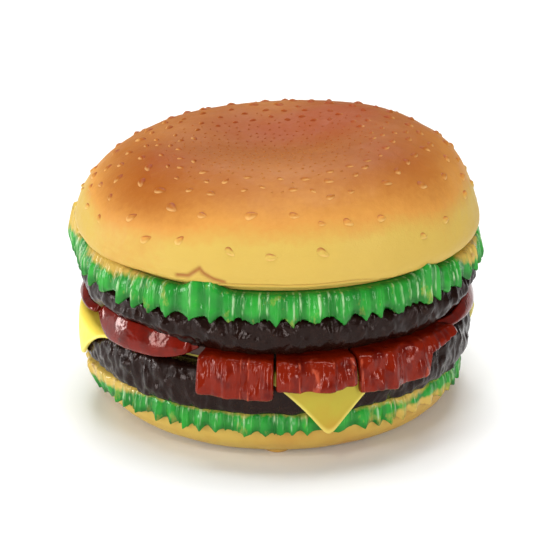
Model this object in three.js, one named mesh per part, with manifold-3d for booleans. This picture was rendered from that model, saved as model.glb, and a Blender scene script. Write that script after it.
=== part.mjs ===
// A telephone in the shape of a filled burger bun. It opens like a clam: the lower half carries
// the keypad and the microphone, the upper half carries the earpiece, and a hinge joins them
// at the rear. Millimetres, +Z up, the front towards -Y, the origin on the desk under the middle.

import * as THREE from 'three';
import { mergeVertices } from 'three/addons/utils/BufferGeometryUtils.js';
import Module from 'manifold-3d';

const wasm = await Module();
wasm.setup();

// ---- Driving dimensions ------------------------------------------------------------------

const GAP = 0.3; // clearance between pieces that touch
const STEPS = 40; // facets round the plain rings
const FRILL_STEPS = 60; // facets round the scalloped rings

// Heights of the layers
const FOOT_H = 2.0;
const BASE_FLOOR = 1.3;
const PATTY_LOW = 21.0;
const PATTY_HIGH = 36.4;
const CHEESE_HIGH = 38.4;
const PARTING = 44.0;
const UPPER_PATTY_HIGH = 58.2;
const UPPER_LETTUCE_HIGH = 67.3;

// Radii of the layers
const TRAY_WALL_R = 62.0;
const TRAY_FLANGE_R = 66.0;
const FILLING_R = 66.4; // where the bacon and tomato start, outside the key tray's flange
const LOWER_LETTUCE_R = 71.2;
const LOWER_PATTY_R = 73.5;
const UPPER_PATTY_R = 75.6;
const UPPER_LETTUCE_R = 77.1;

// Top bun: it leans up towards the right by this much per millimetre of x
const BUN_LEAN = 0.055;
const BUN_LEAN_FROM = 73.0;
const BUN_LEAN_FULL = 100.0;

// Cheese slice
const CHEESE_SIDE = 131.0;
const CHEESE_T = 1.7;
const CHEESE_TURN = 14.0; // degrees from the front to its front corner
const CHEESE_BEND_R = 72.4;
const CHEESE_SAG = 1.24; // the soft corners stretch by this much as they hang

// Keypad
const DECK_LOW = 39.0;
const DECK_HIGH = 41.0;
const KEY_W = 11.0;
const KEY_D = 8.4;
const KEY_TOP = 43.9;
const KEY_PITCH_X = 16.0;
const KEY_PITCH_Y = 12.5;
const KEY_TOP_ROW_Y = 30.0;
const KEY_ROWS = [
  ['key_1', 'key_2', 'key_3'],
  ['key_4', 'key_5', 'key_6'],
  ['key_7', 'key_8', 'key_9'],
  ['key_star', 'key_0', 'key_hash'],
  ['key_redial', 'key_mute', 'key_flash'],
];

// Board and what it carries
const BOARD_LOW = 32.1;
const BOARD_HIGH = 33.7;
const BOARD_HALF_W = 28.0;
const BOARD_FRONT_Y = -40.0;
const BOARD_REAR_Y = 50.0;
const BOARD_TAB_Y = 60.0; // the tab under which the line socket is soldered
const MIC_Y = -48.0;
const PLUNGER_Y = 44.0;
const PLUNGER_R = 2.5;

// Rear panel: the socket and two slide switches, to the right of the rear cheese corner
const JACK_X = 14.0;
const JACK_HALF_W = 6.5;
const JACK_LOW = 22.3;
const JACK_HIGH = 31.8;
const JACK_FRONT_Y = 52.5;
const JACK_MOUTH_Y = 69.6;
const RINGER_SWITCH_AZIMUTH = 150.0;
const TONE_SWITCH_AZIMUTH = 136.0;
const SWITCH_Z = 28.4;
const SWITCH_TRAVEL = 4.0;

// Earpiece
const EAR_Y = -10.0;
const EAR_DECK_LOW = 47.6;
const EAR_DECK_HIGH = 49.6;

// Hinge
const HINGE_Y = 74.0;
const HINGE_Z = PARTING;
const KNUCKLE_R = 3.5;
const PIN_R = 1.25;
const PIN_HALF_LENGTH = 25.0;
const BASE_KNUCKLES = [[-25, -15.3], [-4.7, 4.7], [15.3, 25]];
const LID_KNUCKLES = [[-15, -5], [5, 15]];

// Fasteners and feet
const SCREW_R = 1.5;
const SCREW_HEAD_R = 3.0;
const BASE_SCREW_R = 52.0; // radius of the circle of the four base screws
const LID_SCREW_R = 50.0;
const FOOT_CIRCLE_R = 54.0;
const FOOT_R = 5.0;

// ---- Small helpers -----------------------------------------------------------------------

const radians = (degrees) => (degrees * Math.PI) / 180;

// Azimuth 0 is the front (-Y), 90 is the right (+X).
const place = (azimuth, r, z = 0) => new THREE.Vector3(
  r * Math.sin(radians(azimuth)),
  -r * Math.cos(radians(azimuth)),
  z,
);

const smooth = (low, high, value) => {
  const t = Math.min(1, Math.max(0, (value - low) / (high - low)));
  return t * t * (3 - 2 * t);
};

// Degrees between two azimuths, 0 to 180.
const apart = (a, b) => Math.abs(((a - b + 540) % 360) - 180);

// A geometry as a manifold solid: shared vertices are merged and flat triangles dropped.
function toSolid(geometry) {
  const bare = geometry.clone();
  bare.deleteAttribute('normal');
  bare.deleteAttribute('uv');
  const merged = mergeVertices(bare, 1e-4);
  const index = merged.index.array;
  const kept = [];
  for (let i = 0; i < index.length; i += 3) {
    const [a, b, c] = [index[i], index[i + 1], index[i + 2]];
    if (a !== b && b !== c && c !== a) kept.push(a, b, c);
  }
  return new wasm.Manifold(new wasm.Mesh({
    numProp: 3,
    vertProperties: new Float32Array(merged.attributes.position.array),
    triVerts: new Uint32Array(kept),
  }));
}

function toGeometry(solid) {
  const { vertProperties, triVerts } = solid.getMesh();
  const geometry = new THREE.BufferGeometry();
  geometry.setAttribute('position', new THREE.BufferAttribute(vertProperties, 3));
  geometry.setIndex(new THREE.BufferAttribute(triVerts, 1));
  geometry.computeVertexNormals();
  return geometry;
}

// A solid built at the rear (azimuth 180), turned about the upright axis to another azimuth.
function fromRear(solid, azimuth) {
  return toSolid(toGeometry(solid).rotateZ(radians(azimuth - 180)));
}

const join = (...solids) => solids.reduce((all, one) => all.add(one));
const cut = (body, ...tools) => tools.reduce((left, tool) => left.subtract(tool), body);

// A box between two corners.
function block(x0, x1, y0, y1, z0, z1) {
  const geometry = new THREE.BoxGeometry(x1 - x0, y1 - y0, z1 - z0);
  return toSolid(geometry.translate((x0 + x1) / 2, (y0 + y1) / 2, (z0 + z1) / 2));
}

// An upright round bar.
function post(x, y, r, z0, z1, facets = 12) {
  const geometry = new THREE.CylinderGeometry(r, r, z1 - z0, facets).rotateX(Math.PI / 2);
  return toSolid(geometry.translate(x, y, (z0 + z1) / 2));
}

// A round bar along X.
function bar(x0, x1, y, z, r, facets = 16) {
  const geometry = new THREE.CylinderGeometry(r, r, x1 - x0, facets).rotateZ(Math.PI / 2);
  return toSolid(geometry.translate((x0 + x1) / 2, y, z));
}

// A turned piece from [radius, height] points. The profile starts and ends on the axis, or
// closes on itself when ring is true, and runs up its outer side.
function turned(points, facets, { x = 0, y = 0, ring = false } = {}) {
  const loop = ring ? [...points, points[0]] : points;
  const profile = loop.map(([r, z]) => new THREE.Vector2(r, z));
  const geometry = new THREE.LatheGeometry(profile, facets).rotateX(Math.PI / 2);
  return toSolid(geometry.translate(x, y, 0));
}

// A loop of [radius, height] points carried round the axis while it changes with the azimuth.
// A part turn gets flat ends. A full turn closes on itself.
function carried(loopAt, steps, from = 0, to = 360) {
  const full = to - from === 360;
  const rows = full ? steps : steps + 1;
  const positions = [];
  let count = 0;
  for (let i = 0; i < rows; i += 1) {
    const azimuth = from + ((to - from) * i) / steps;
    const loop = loopAt(azimuth);
    count = loop.length;
    loop.forEach(([r, z]) => positions.push(...place(azimuth, r, z).toArray()));
  }
  const index = [];
  const at = (i, j) => (i % rows) * count + (j % count);
  for (let i = 0; i < steps; i += 1) {
    for (let j = 0; j < count; j += 1) {
      index.push(at(i, j), at(i + 1, j), at(i + 1, j + 1));
      index.push(at(i, j), at(i + 1, j + 1), at(i, j + 1));
    }
  }
  if (!full) {
    const capAt = (azimuth, row, turn) => {
      const outline = loopAt(azimuth).map(([r, z]) => new THREE.Vector2(r, z));
      THREE.ShapeUtils.triangulateShape(outline, []).forEach(([a, b, c]) => {
        index.push(at(row, a), at(row, turn ? c : b), at(row, turn ? b : c));
      });
    };
    capAt(from, 0, false);
    capAt(to, steps, true);
  }
  const geometry = new THREE.BufferGeometry();
  geometry.setAttribute('position', new THREE.Float32BufferAttribute(positions, 3));
  geometry.setIndex(index);
  return toSolid(geometry);
}

// ---- Materials ---------------------------------------------------------------------------

const COLOURS = {
  bun: [0xd9a45a, 0.55],
  lettuce: [0x3fa046, 0.4],
  patty: [0x3c2c2b, 0.45],
  cheese: [0xd6c040, 0.5],
  tomato: [0x8c2418, 0.3],
  bacon: [0x7c1c14, 0.25],
  tray: [0xe9dcb8, 0.5],
  key: [0xf3efe2, 0.4],
  rubber: [0x2a2a2c, 0.8],
  board: [0x2e6b3c, 0.6],
  black: [0x151515, 0.5],
  steel: [0xb8bbc0, 0.35, 0.9],
  paper: [0x4a4038, 0.9],
};

const object = new THREE.Group();

function add(name, solid, look) {
  const [color, roughness, metalness = 0] = COLOURS[look];
  const material = new THREE.MeshStandardMaterial({ color, roughness, metalness });
  const mesh = new THREE.Mesh(toGeometry(solid), material);
  mesh.name = name;
  object.add(mesh);
}

// ---- Lower half: the food layers ---------------------------------------------------------

// Soft waves of a leaf's edge, from -1 to 1.
const leafWave = (azimuth, lobes, shift) => (
  0.7 * Math.sin(radians(azimuth * lobes + shift)) + 0.3 * Math.sin(radians(azimuth * 7 + shift))
);

function bottomBun() {
  const bowl = turned([
    [0, BASE_FLOOR], [57, BASE_FLOOR], [61.5, 2.8], [65.6, 5.6], [68, 9], [68.8, 12.5],
    [68.8, 15], [65.2, 15], [65.2, 20.4], [62.7, 20.4], [62.7, 10], [61.6, 6.8], [58, 4.2],
    [0, 3.9],
  ], STEPS);
  const bosses = baseScrewSpots().map(({ x, y }) => post(x, y, 4.5, 3, 9));
  const holes = baseScrewSpots().flatMap(({ x, y }) => [
    post(x, y, SCREW_HEAD_R + 0.4, 0, 4.5),
    post(x, y, SCREW_R + GAP, 4, 10),
  ]);
  const footSeats = footSpots().map(({ x, y }) => post(x, y, FOOT_R + GAP, 0, FOOT_H + GAP));
  const soundHoles = [0, 60, 120, 180, 240, 300].map((azimuth) => {
    const { x, y } = place(azimuth, 7);
    return post(x, y, 1.2, 0, 5, 8);
  });
  return cut(join(bowl, ...bosses), ...holes, ...footSeats, ...soundHoles);
}

function lowerLettuce() {
  return carried((azimuth) => {
    const wave = leafWave(azimuth, 15, 20);
    const tip = 13.1 + 1.1 * leafWave(azimuth, 13, 70);
    const r = LOWER_LETTUCE_R + 0.9 * wave;
    return [
      [69.1, tip], [r - 0.5, tip - 0.4], [r + 0.3, tip + 1.4], [r, 17.8], [r - 1.2, 20.7],
      [65.5, 20.7], [65.5, 15.3], [69.1, 15.3],
    ];
  }, FRILL_STEPS);
}

function lowerPatty() {
  const ring = turned([
    [62.6, PATTY_LOW], [71, PATTY_LOW], [73, 23.8], [LOWER_PATTY_R, 28.7], [73, 33.6],
    [71, PATTY_HIGH], [62.6, PATTY_HIGH], [62.6, 34.2], [70, 34.2], [71.3, 28.7],
    [70, 23.2], [62.6, 23.2],
  ], STEPS, { ring: true });
  const jackWindow = block(
    JACK_X - JACK_HALF_W - GAP, JACK_X + JACK_HALF_W + GAP, 50, 80,
    JACK_LOW - GAP, JACK_HIGH + GAP,
  );
  const switchWindows = [RINGER_SWITCH_AZIMUTH, TONE_SWITCH_AZIMUTH].map((azimuth) => (
    fromRear(block(-4.5, 4.5, 65, 80, SWITCH_Z - 2.2, SWITCH_Z + 2.2), azimuth)
  ));
  return cut(ring, jackWindow, ...switchWindows);
}

// How far the square slice reaches from the middle at an azimuth.
function cheeseReach(azimuth) {
  const turn = radians(azimuth - CHEESE_TURN - 45);
  const square = CHEESE_SIDE / 2 / Math.max(Math.abs(Math.cos(turn)), Math.abs(Math.sin(turn)));
  return square + (CHEESE_SAG - 1) * Math.max(square - CHEESE_BEND_R, 0);
}

// A point of the slice: along it by so much from the middle, raised by so much through its
// thickness. Past the patty's edge it bends and hangs straight down.
function cheesePoint(along, raised) {
  const flat = Math.min(along, CHEESE_BEND_R);
  const bendR = 1.6 + raised;
  const middleR = 1.6 + CHEESE_T / 2;
  const angle = Math.min(Math.max(along - CHEESE_BEND_R, 0) / middleR, Math.PI / 2);
  const hang = Math.max(along - CHEESE_BEND_R - (middleR * Math.PI) / 2, 0);
  const bottom = CHEESE_HIGH - CHEESE_T;
  return [flat + bendR * Math.sin(angle), bottom - 1.6 + bendR * Math.cos(angle) - hang];
}

function cheeseSlice() {
  const shares = [0, 0.3, 0.42, 0.54, 0.72, 1];
  return carried((azimuth) => {
    const reach = cheeseReach(azimuth);
    const start = 62.6;
    const stations = shares.map((share) => {
      const free = Math.max(reach - CHEESE_BEND_R, 0);
      const bend = Math.min(free, 3.85);
      const flat = Math.min(reach, CHEESE_BEND_R);
      if (share <= 0.3) return start + (flat - start) * (share / 0.3);
      if (share <= 0.54) return flat + bend * ((share - 0.3) / 0.24);
      return flat + bend + (free - bend) * ((share - 0.54) / 0.46);
    });
    return [
      ...stations.map((along, k) => cheesePoint(along + k * 0.01, 0)),
      ...stations.map((along, k) => cheesePoint(along + k * 0.01, CHEESE_T)).reverse(),
    ];
  }, 56, CHEESE_TURN, CHEESE_TURN + 360);
}

// A tomato disc lying on the cheese. Only the crescent outside the tray's flange is kept.
function tomatoSlice(azimuth) {
  const { x, y } = place(azimuth, 45);
  const low = CHEESE_HIGH + 0.4;
  const high = PARTING - 0.4;
  const disc = turned([
    [0, low], [28.6, low], [30, low + 1.6], [30, high - 1.6], [28.6, high], [0, high],
  ], 40, { x, y });
  return cut(disc, post(0, 0, FILLING_R, 30, 50, STEPS));
}

// A rasher that lies on the cheese beside the tray and hangs over the patty's edge. It stands
// further out where the cheese corner hangs behind it.
function baconStrip(from, to, lowEdge) {
  const overCheese = (azimuth) => 1 - smooth(17, 22, apart(azimuth, CHEESE_TURN));
  return carried((azimuth) => {
    const inner = LOWER_PATTY_R + 0.6 + 2.1 * overCheese(azimuth);
    const outer = inner + 1.5 + 0.4 * Math.cos(radians((azimuth - from) * 36));
    const edge = lowEdge + 0.5 * Math.sin(radians((azimuth - from) * 22));
    return [
      [FILLING_R, 39], [72.2, 39], [inner - 0.6, 38.2], [inner, 36.2], [inner, edge],
      [outer, edge], [outer + 0.2, 34], [outer - 0.1, 41], [outer - 1.4, 43.3],
      [72, 43.7], [FILLING_R, 43.7],
    ];
  }, 12, from, to);
}

// ---- Lower half: the key tray and what it carries ----------------------------------------

const baseScrewSpots = () => [45, 135, 225, 315].map((azimuth) => place(azimuth, BASE_SCREW_R));
const footSpots = () => [0, 90, 180, 270].map((azimuth) => place(azimuth, FOOT_CIRCLE_R));

const keySpots = () => KEY_ROWS.flatMap((row, line) => row.map((name, column) => ({
  name,
  x: (column - 1) * KEY_PITCH_X,
  y: KEY_TOP_ROW_Y - line * KEY_PITCH_Y,
})));

// One leaf of the hinge: arms from a tray's flange to round knuckles on the pin's axis.
function hingeLeaf(knuckles, armLow, armHigh) {
  const pieces = knuckles.flatMap(([x0, x1]) => [
    block(x0, x1, 62, HINGE_Y, armLow, armHigh),
    bar(x0, x1, HINGE_Y, HINGE_Z, KNUCKLE_R),
  ]);
  return join(...pieces);
}

const pinBore = () => bar(-40, 40, HINGE_Y, HINGE_Z, PIN_R + GAP, 12);

function keyTray() {
  const dish = turned([
    [0, DECK_LOW], [59.8, DECK_LOW], [59.8, 24.5], [TRAY_WALL_R, 24.5], [TRAY_WALL_R, 38.7],
    [TRAY_FLANGE_R, 38.7], [TRAY_FLANGE_R, PARTING - 0.2], [61.2, PARTING - 0.2],
    [60.2, DECK_HIGH], [0, DECK_HIGH],
  ], STEPS);
  const posts = baseScrewSpots().map(({ x, y }) => post(x, y, 3.5, 9.3, DECK_LOW + 0.5));
  const screwHoles = baseScrewSpots().map(({ x, y }) => post(x, y, SCREW_R + GAP, 9, 20));
  const windows = keySpots().map(({ x, y }) => block(
    x - KEY_W / 2 - 0.4, x + KEY_W / 2 + 0.4, y - KEY_D / 2 - 0.4, y + KEY_D / 2 + 0.4, 38, 42,
  ));
  const micHoles = [-3, 0, 3].map((x) => post(x, MIC_Y, 0.8, 38, 42, 8));
  const plungerHole = post(0, PLUNGER_Y, PLUNGER_R + 0.4, 38, 42);
  const rearOpening = carried(() => [[57, 24], [64, 24], [64, 36.4], [57, 36.4]], 14, 127, 186);
  const leaf = hingeLeaf(BASE_KNUCKLES, 41.2, 43.7);
  return cut(
    join(dish, ...posts, leaf), ...screwHoles, ...windows, ...micHoles, plungerHole,
    rearOpening, pinBore(),
  );
}

// A key cap with chamfered edges and a flange that keeps it under the deck.
function keyCap(x, y) {
  const outline = new THREE.Shape([
    new THREE.Vector2(-KEY_W / 2 + 0.7, -KEY_D / 2 + 0.7),
    new THREE.Vector2(KEY_W / 2 - 0.7, -KEY_D / 2 + 0.7),
    new THREE.Vector2(KEY_W / 2 - 0.7, KEY_D / 2 - 0.7),
    new THREE.Vector2(-KEY_W / 2 + 0.7, KEY_D / 2 - 0.7),
  ]);
  const capLow = 38.4;
  const cap = new THREE.ExtrudeGeometry(outline, {
    depth: KEY_TOP - capLow - 1.4,
    bevelThickness: 0.7,
    bevelSize: 0.7,
    bevelSegments: 1,
  }).translate(x, y, capLow + 0.7);
  const flange = block(
    x - KEY_W / 2 - 0.9, x + KEY_W / 2 + 0.9, y - KEY_D / 2 - 0.9, y + KEY_D / 2 + 0.9,
    37.9, 38.7,
  );
  return join(toSolid(cap), flange);
}

function keyMat() {
  const sheet = block(-26, 26, -27, 37, 34, 35);
  const domes = keySpots().map(({ x, y }) => block(x - 3, x + 3, y - 2.5, y + 2.5, 34.5, 36));
  return join(sheet, ...domes);
}

function mainBoard() {
  const plate = block(
    -BOARD_HALF_W, BOARD_HALF_W, BOARD_FRONT_Y, BOARD_REAR_Y, BOARD_LOW, BOARD_HIGH,
  );
  const tab = block(
    JACK_X - 9, JACK_X + 9, BOARD_REAR_Y - 1, BOARD_TAB_Y, BOARD_LOW, BOARD_HIGH,
  );
  return cut(join(plate, tab), post(0, PLUNGER_Y, 4.5, 30, 36));
}

const dialerChip = () => block(-9, 9, -4, 5, 28.6, BOARD_LOW - GAP);

function microphone() {
  return turned([[0, 35], [4.8, 35], [4.8, 38.2], [3.6, 38.5], [0, 38.5]], 14, { y: MIC_Y });
}

function micBoot() {
  return turned([[0, 33.4], [7, 33.4], [7, 38.7], [5.1, 38.7], [5.1, 34.7], [0, 34.7]], 14, {
    y: MIC_Y,
  });
}

function ringer() {
  const can = turned([[0, 4.3], [13, 4.3], [13.6, 5], [13.6, 11.4], [12.6, 12.4], [0, 12.4]], 20);
  return cut(can, post(0, 0, 2, 10, 14, 12));
}

const hookSwitch = () => block(-6, 6, PLUNGER_Y - 5, PLUNGER_Y + 5, 26.5, BOARD_LOW - GAP);

function hookPlunger() {
  return turned([
    [0, 32.1], [3.9, 32.1], [3.9, 33.4], [PLUNGER_R, 33.4], [PLUNGER_R, 46.5],
    [PLUNGER_R - 0.8, 47.3], [0, 47.3],
  ], 14, { y: PLUNGER_Y });
}

// A modular line socket: a square mouth to the rear, with the notch for the plug's latch.
function lineJack() {
  const body = block(
    JACK_X - JACK_HALF_W, JACK_X + JACK_HALF_W, JACK_FRONT_Y, JACK_MOUTH_Y,
    JACK_LOW, JACK_HIGH,
  );
  const mouth = block(JACK_X - 4.9, JACK_X + 4.9, 56.5, 80, 24.2, 31);
  const latch = block(JACK_X - 2, JACK_X + 2, 56.5, 80, 22.9, 25);
  return cut(body, mouth, latch);
}

function switchBody(azimuth) {
  const body = block(-6.5, 6.5, 56.4, 62, 24.6, BOARD_LOW - GAP);
  const slot = block(-4.4, 4.4, 60.4, 63, SWITCH_Z - 1.9, SWITCH_Z + 1.9);
  return fromRear(cut(body, slot), azimuth);
}

// The knob stands at one end of its slot.
function switchKnob(azimuth) {
  const [near, far] = [SWITCH_TRAVEL / 2 - 1.8, SWITCH_TRAVEL / 2 + 1.8];
  const stem = block(near, far, 60.8, 73.4, SWITCH_Z - 1.5, SWITCH_Z + 1.5);
  const grip = block(near + 0.6, far - 0.6, 73, 74.6, SWITCH_Z - 1.2, SWITCH_Z + 1.2);
  return fromRear(join(stem, grip), azimuth);
}

function baseScrew(x, y) {
  const screw = turned([
    [0, 1.9], [2.2, 1.9], [SCREW_HEAD_R, 2.6], [SCREW_HEAD_R, 4.1], [SCREW_R, 4.1],
    [SCREW_R, 17.2], [0, 18.5],
  ], 10, { x, y });
  return cut(screw, block(x - 2, x + 2, y - 0.4, y + 0.4, 1, 2.7));
}

function foot(x, y) {
  return turned([
    [0, 0], [FOOT_R - 0.6, 0], [FOOT_R, 0.6], [FOOT_R, FOOT_H], [0, FOOT_H],
  ], 16, { x, y });
}

// ---- Upper half --------------------------------------------------------------------------

// The bun's outer skin from its middle to its lower rim, and its inner skin back again.
const BUN_OUTER = [
  [71.5, 69.5], [74.8, 70.5], [76, 73.4], [75.1, 78.2], [73, 83.8], [69.8, 89.6], [64.8, 94.9],
  [57.5, 99.3], [48.5, 102.1], [38.5, 102.9], [26, 101.5], [13, 98.6], [0, 97.2],
];
const BUN_INNER = [
  [0, 94.6], [14, 96], [26.6, 98.8], [38.3, 100.1], [47.6, 99.4], [55.9, 96.8], [62.9, 92.6],
  [67.4, 87.8], [70.4, 82.6], [72.4, 77.6], [72.8, 74.2], [69.2, 70.6], [68.2, 67.7], [71, 67.7],
];

function topBun() {
  const lean = (azimuth, r, z) => (
    BUN_LEAN * r * Math.sin(radians(azimuth)) * smooth(BUN_LEAN_FROM, BUN_LEAN_FULL, z)
  );
  const shell = carried((azimuth) => [...BUN_INNER, ...BUN_OUTER].map(([r, z]) => (
    [r, z + lean(azimuth, r, z)]
  )), STEPS);
  const bosses = lidScrewSpots().map(({ x, y }) => post(x, y, 3.6, 52.3, 99 + BUN_LEAN * x));
  const holes = lidScrewSpots().map(({ x, y }) => post(x, y, SCREW_R + GAP, 50, 64));
  return cut(join(shell, ...bosses), ...holes);
}

const lidScrewSpots = () => [0, 120, 240].map((azimuth) => place(azimuth, LID_SCREW_R));

function upperLettuce() {
  return carried((azimuth) => {
    const wave = leafWave(azimuth, 14, 0);
    const tip = 58.6 + 1.3 * leafWave(azimuth, 11, 40);
    const r = UPPER_LETTUCE_R + 0.4 * wave;
    return [
      [63, 58.5], [74, 58.5], [76.3, tip], [r, tip - 0.3], [r + 0.2, tip + 2.2],
      [r - 1.6, 64.6], [73.4, UPPER_LETTUCE_HIGH], [63, UPPER_LETTUCE_HIGH],
      [63, 65.4], [72, 65.4], [73.6, 62.4], [72.6, 60.4], [63, 60.4],
    ];
  }, FRILL_STEPS);
}

function upperPatty() {
  const ring = turned([
    [66.4, PARTING + 0.6], [71.5, PARTING + 0.6], [74.6, 47.4], [UPPER_PATTY_R, 51.3],
    [75, 55.2], [73, UPPER_PATTY_HIGH], [62.6, UPPER_PATTY_HIGH], [62.6, 56], [72, 56],
    [73.8, 51.3], [72.4, 47.2], [66.4, 47.2],
  ], STEPS, { ring: true });
  const hingeRoom = block(-27.5, 27.5, 62, 80, 40, 48.2);
  return cut(ring, hingeRoom);
}

function earTray() {
  const dish = turned([
    [0, EAR_DECK_LOW], [59.8, EAR_DECK_LOW], [61, PARTING + 0.2], [TRAY_FLANGE_R, PARTING + 0.2],
    [TRAY_FLANGE_R, 46.9], [TRAY_WALL_R, 46.9], [TRAY_WALL_R, 57], [59.8, 57],
    [59.8, EAR_DECK_HIGH], [0, EAR_DECK_HIGH],
  ], STEPS);
  const screwSeats = lidScrewSpots().map(({ x, y }) => post(x, y, 5, 48, 52));
  const screwHoles = lidScrewSpots().flatMap(({ x, y }) => [
    post(x, y, SCREW_HEAD_R + 0.4, 46, 49.8),
    post(x, y, SCREW_R + GAP, 49, 53),
  ]);
  const stakes = [-23, 23].flatMap((x) => [
    post(x, EAR_Y, 2.8, 49, 52.6, 12),
    post(x, EAR_Y, 1.2, 52, 56, 10),
  ]);
  const soundHoles = [0, 60, 120, 180, 240, 300].map((azimuth) => {
    const { x, y } = place(azimuth, 6.5);
    return post(x, y + EAR_Y, 1.4, 46, 51, 8);
  });
  const middleHole = post(0, EAR_Y, 1.4, 46, 51, 8);
  const leaf = hingeLeaf(LID_KNUCKLES, 44.3, 46.8);
  return cut(
    join(dish, ...screwSeats, ...stakes, leaf), ...screwHoles, ...soundHoles, middleHole,
    pinBore(),
  );
}

function speaker() {
  return turned([
    [0, 57.5], [6, 57.5], [14.5, 53.8], [14.5, 51.2], [17.5, 51.2], [17.5, 52.6], [15.2, 52.6],
    [15.2, 54.6], [8.6, 58.6], [8.6, 62.4], [0, 62.4],
  ], 20, { y: EAR_Y });
}

function diaphragm() {
  return turned([
    [0, 54.4], [6, 54.4], [13.9, 51.5], [13.9, 52.2], [6, 55.1], [0, 55.1],
  ], 20, { y: EAR_Y });
}

function speakerGasket() {
  return turned([[13.4, 49.9], [17.5, 49.9], [17.5, 50.9], [13.4, 50.9]], 20, {
    y: EAR_Y, ring: true,
  });
}

function speakerClamp() {
  const ring = turned([[15.6, 52.9], [19.4, 52.9], [19.4, 54.3], [15.6, 54.3]], 20, {
    y: EAR_Y, ring: true,
  });
  const ears = [-1, 1].map((side) => {
    const [near, far] = [18 * side, 26.4 * side];
    return block(Math.min(near, far), Math.max(near, far), EAR_Y - 3, EAR_Y + 3, 52.9, 54.3);
  });
  const holes = [-23, 23].map((x) => post(x, EAR_Y, 1.5, 50, 57, 10));
  return cut(join(ring, ...ears), ...holes);
}

function lidScrew(x, y) {
  const screw = turned([
    [0, 47.9], [2.2, 47.9], [SCREW_HEAD_R, 48.5], [SCREW_HEAD_R, 49.5], [SCREW_R, 49.5],
    [SCREW_R, 61.6], [0, 62.8],
  ], 10, { x, y });
  return cut(screw, block(x - 2, x + 2, y - 0.4, y + 0.4, 47, 48.6));
}

// ---- The assembly ------------------------------------------------------------------------

add('bottom_bun', bottomBun(), 'bun');
add('lower_lettuce', lowerLettuce(), 'lettuce');
add('lower_patty', lowerPatty(), 'patty');
add('cheese_slice', cheeseSlice(), 'cheese');
add('tomato_slice_front_left', tomatoSlice(-47.5), 'tomato');
add('tomato_slice_left', tomatoSlice(-93), 'tomato');
add('tomato_slice_right', tomatoSlice(76), 'tomato');
add('bacon_strip_1', baconStrip(-21.6, -1, 29.6), 'bacon');
add('bacon_strip_2', baconStrip(-0.3, 20.8, 33.2), 'bacon');
add('bacon_strip_3', baconStrip(21.9, 46, 29.8), 'bacon');

add('key_tray', keyTray(), 'tray');
add('key_mat', keyMat(), 'rubber');
add('main_board', mainBoard(), 'board');
add('dialer_chip', dialerChip(), 'black');
add('line_jack', lineJack(), 'black');
add('microphone', microphone(), 'steel');
add('mic_boot', micBoot(), 'rubber');
add('ringer', ringer(), 'black');
add('hook_switch', hookSwitch(), 'black');
add('ringer_switch', switchBody(RINGER_SWITCH_AZIMUTH), 'black');
add('tone_switch', switchBody(TONE_SWITCH_AZIMUTH), 'black');
baseScrewSpots().forEach(({ x, y }, k) => add(`base_screw_${k + 1}`, baseScrew(x, y), 'steel'));
footSpots().forEach(({ x, y }, k) => add(`foot_${k + 1}`, foot(x, y), 'rubber'));
add('hinge_pin', bar(-PIN_HALF_LENGTH, PIN_HALF_LENGTH, HINGE_Y, HINGE_Z, PIN_R, 12), 'steel');

keySpots().forEach(({ name, x, y }) => add(name, keyCap(x, y), 'key'));
add('hook_plunger', hookPlunger(), 'key');
add('ringer_switch_knob', switchKnob(RINGER_SWITCH_AZIMUTH), 'key');
add('tone_switch_knob', switchKnob(TONE_SWITCH_AZIMUTH), 'key');

add('top_bun', topBun(), 'bun');
add('upper_lettuce', upperLettuce(), 'lettuce');
add('upper_patty', upperPatty(), 'patty');
add('ear_tray', earTray(), 'tray');
add('earpiece_speaker', speaker(), 'black');
add('speaker_diaphragm', diaphragm(), 'paper');
add('speaker_gasket', speakerGasket(), 'rubber');
add('speaker_clamp', speakerClamp(), 'steel');
lidScrewSpots().forEach(({ x, y }, k) => add(`lid_screw_${k + 1}`, lidScrew(x, y), 'steel'));

export default object;
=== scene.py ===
import math
import random

import bmesh
import bpy
import numpy as np
from mathutils import Matrix, Vector, noise


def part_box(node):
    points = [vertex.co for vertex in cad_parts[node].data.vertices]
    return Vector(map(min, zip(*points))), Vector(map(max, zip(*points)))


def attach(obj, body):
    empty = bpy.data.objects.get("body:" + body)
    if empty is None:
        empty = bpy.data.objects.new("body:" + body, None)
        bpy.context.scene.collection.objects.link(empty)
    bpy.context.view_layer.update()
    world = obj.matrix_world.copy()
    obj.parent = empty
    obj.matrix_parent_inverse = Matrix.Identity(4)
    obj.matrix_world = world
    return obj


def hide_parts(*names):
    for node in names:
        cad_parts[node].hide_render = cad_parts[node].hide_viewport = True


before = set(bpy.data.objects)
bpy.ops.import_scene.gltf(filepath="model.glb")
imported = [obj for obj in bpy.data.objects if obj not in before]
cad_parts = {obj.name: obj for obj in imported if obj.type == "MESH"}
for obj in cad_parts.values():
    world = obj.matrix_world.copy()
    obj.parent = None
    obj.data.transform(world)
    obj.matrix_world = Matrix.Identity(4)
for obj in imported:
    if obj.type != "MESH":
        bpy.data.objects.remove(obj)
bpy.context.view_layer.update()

bl_info = {
    "name": "Burger Telephone",
    "version": (1, 0, 0),
    "blender": (4, 5, 0),
    "location": "3D View > Sidebar > Burger Phone",
    "description": "Builds the painted food layers, keypad and fittings of a burger telephone",
    "category": "Add Mesh",
}

MM = 0.001


def srgb(red, green, blue):
    """An sRGB colour given from 0 to 255, as the linear red, green and blue that nodes take."""
    def linear(value):
        share = value / 255
        return share / 12.92 if share <= 0.04045 else ((share + 0.055) / 1.055) ** 2.4
    return linear(red), linear(green), linear(blue)


def box_mm(node):
    """A CAD node's lowest and highest corners in millimetres."""
    low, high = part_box(node)
    return low / MM, high / MM


def middle_mm(node):
    """The middle of a CAD node's box in millimetres."""
    low, high = box_mm(node)
    return (low + high) / 2


# ---- Places that come from the frame, in millimetres -------------------------------------

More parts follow.
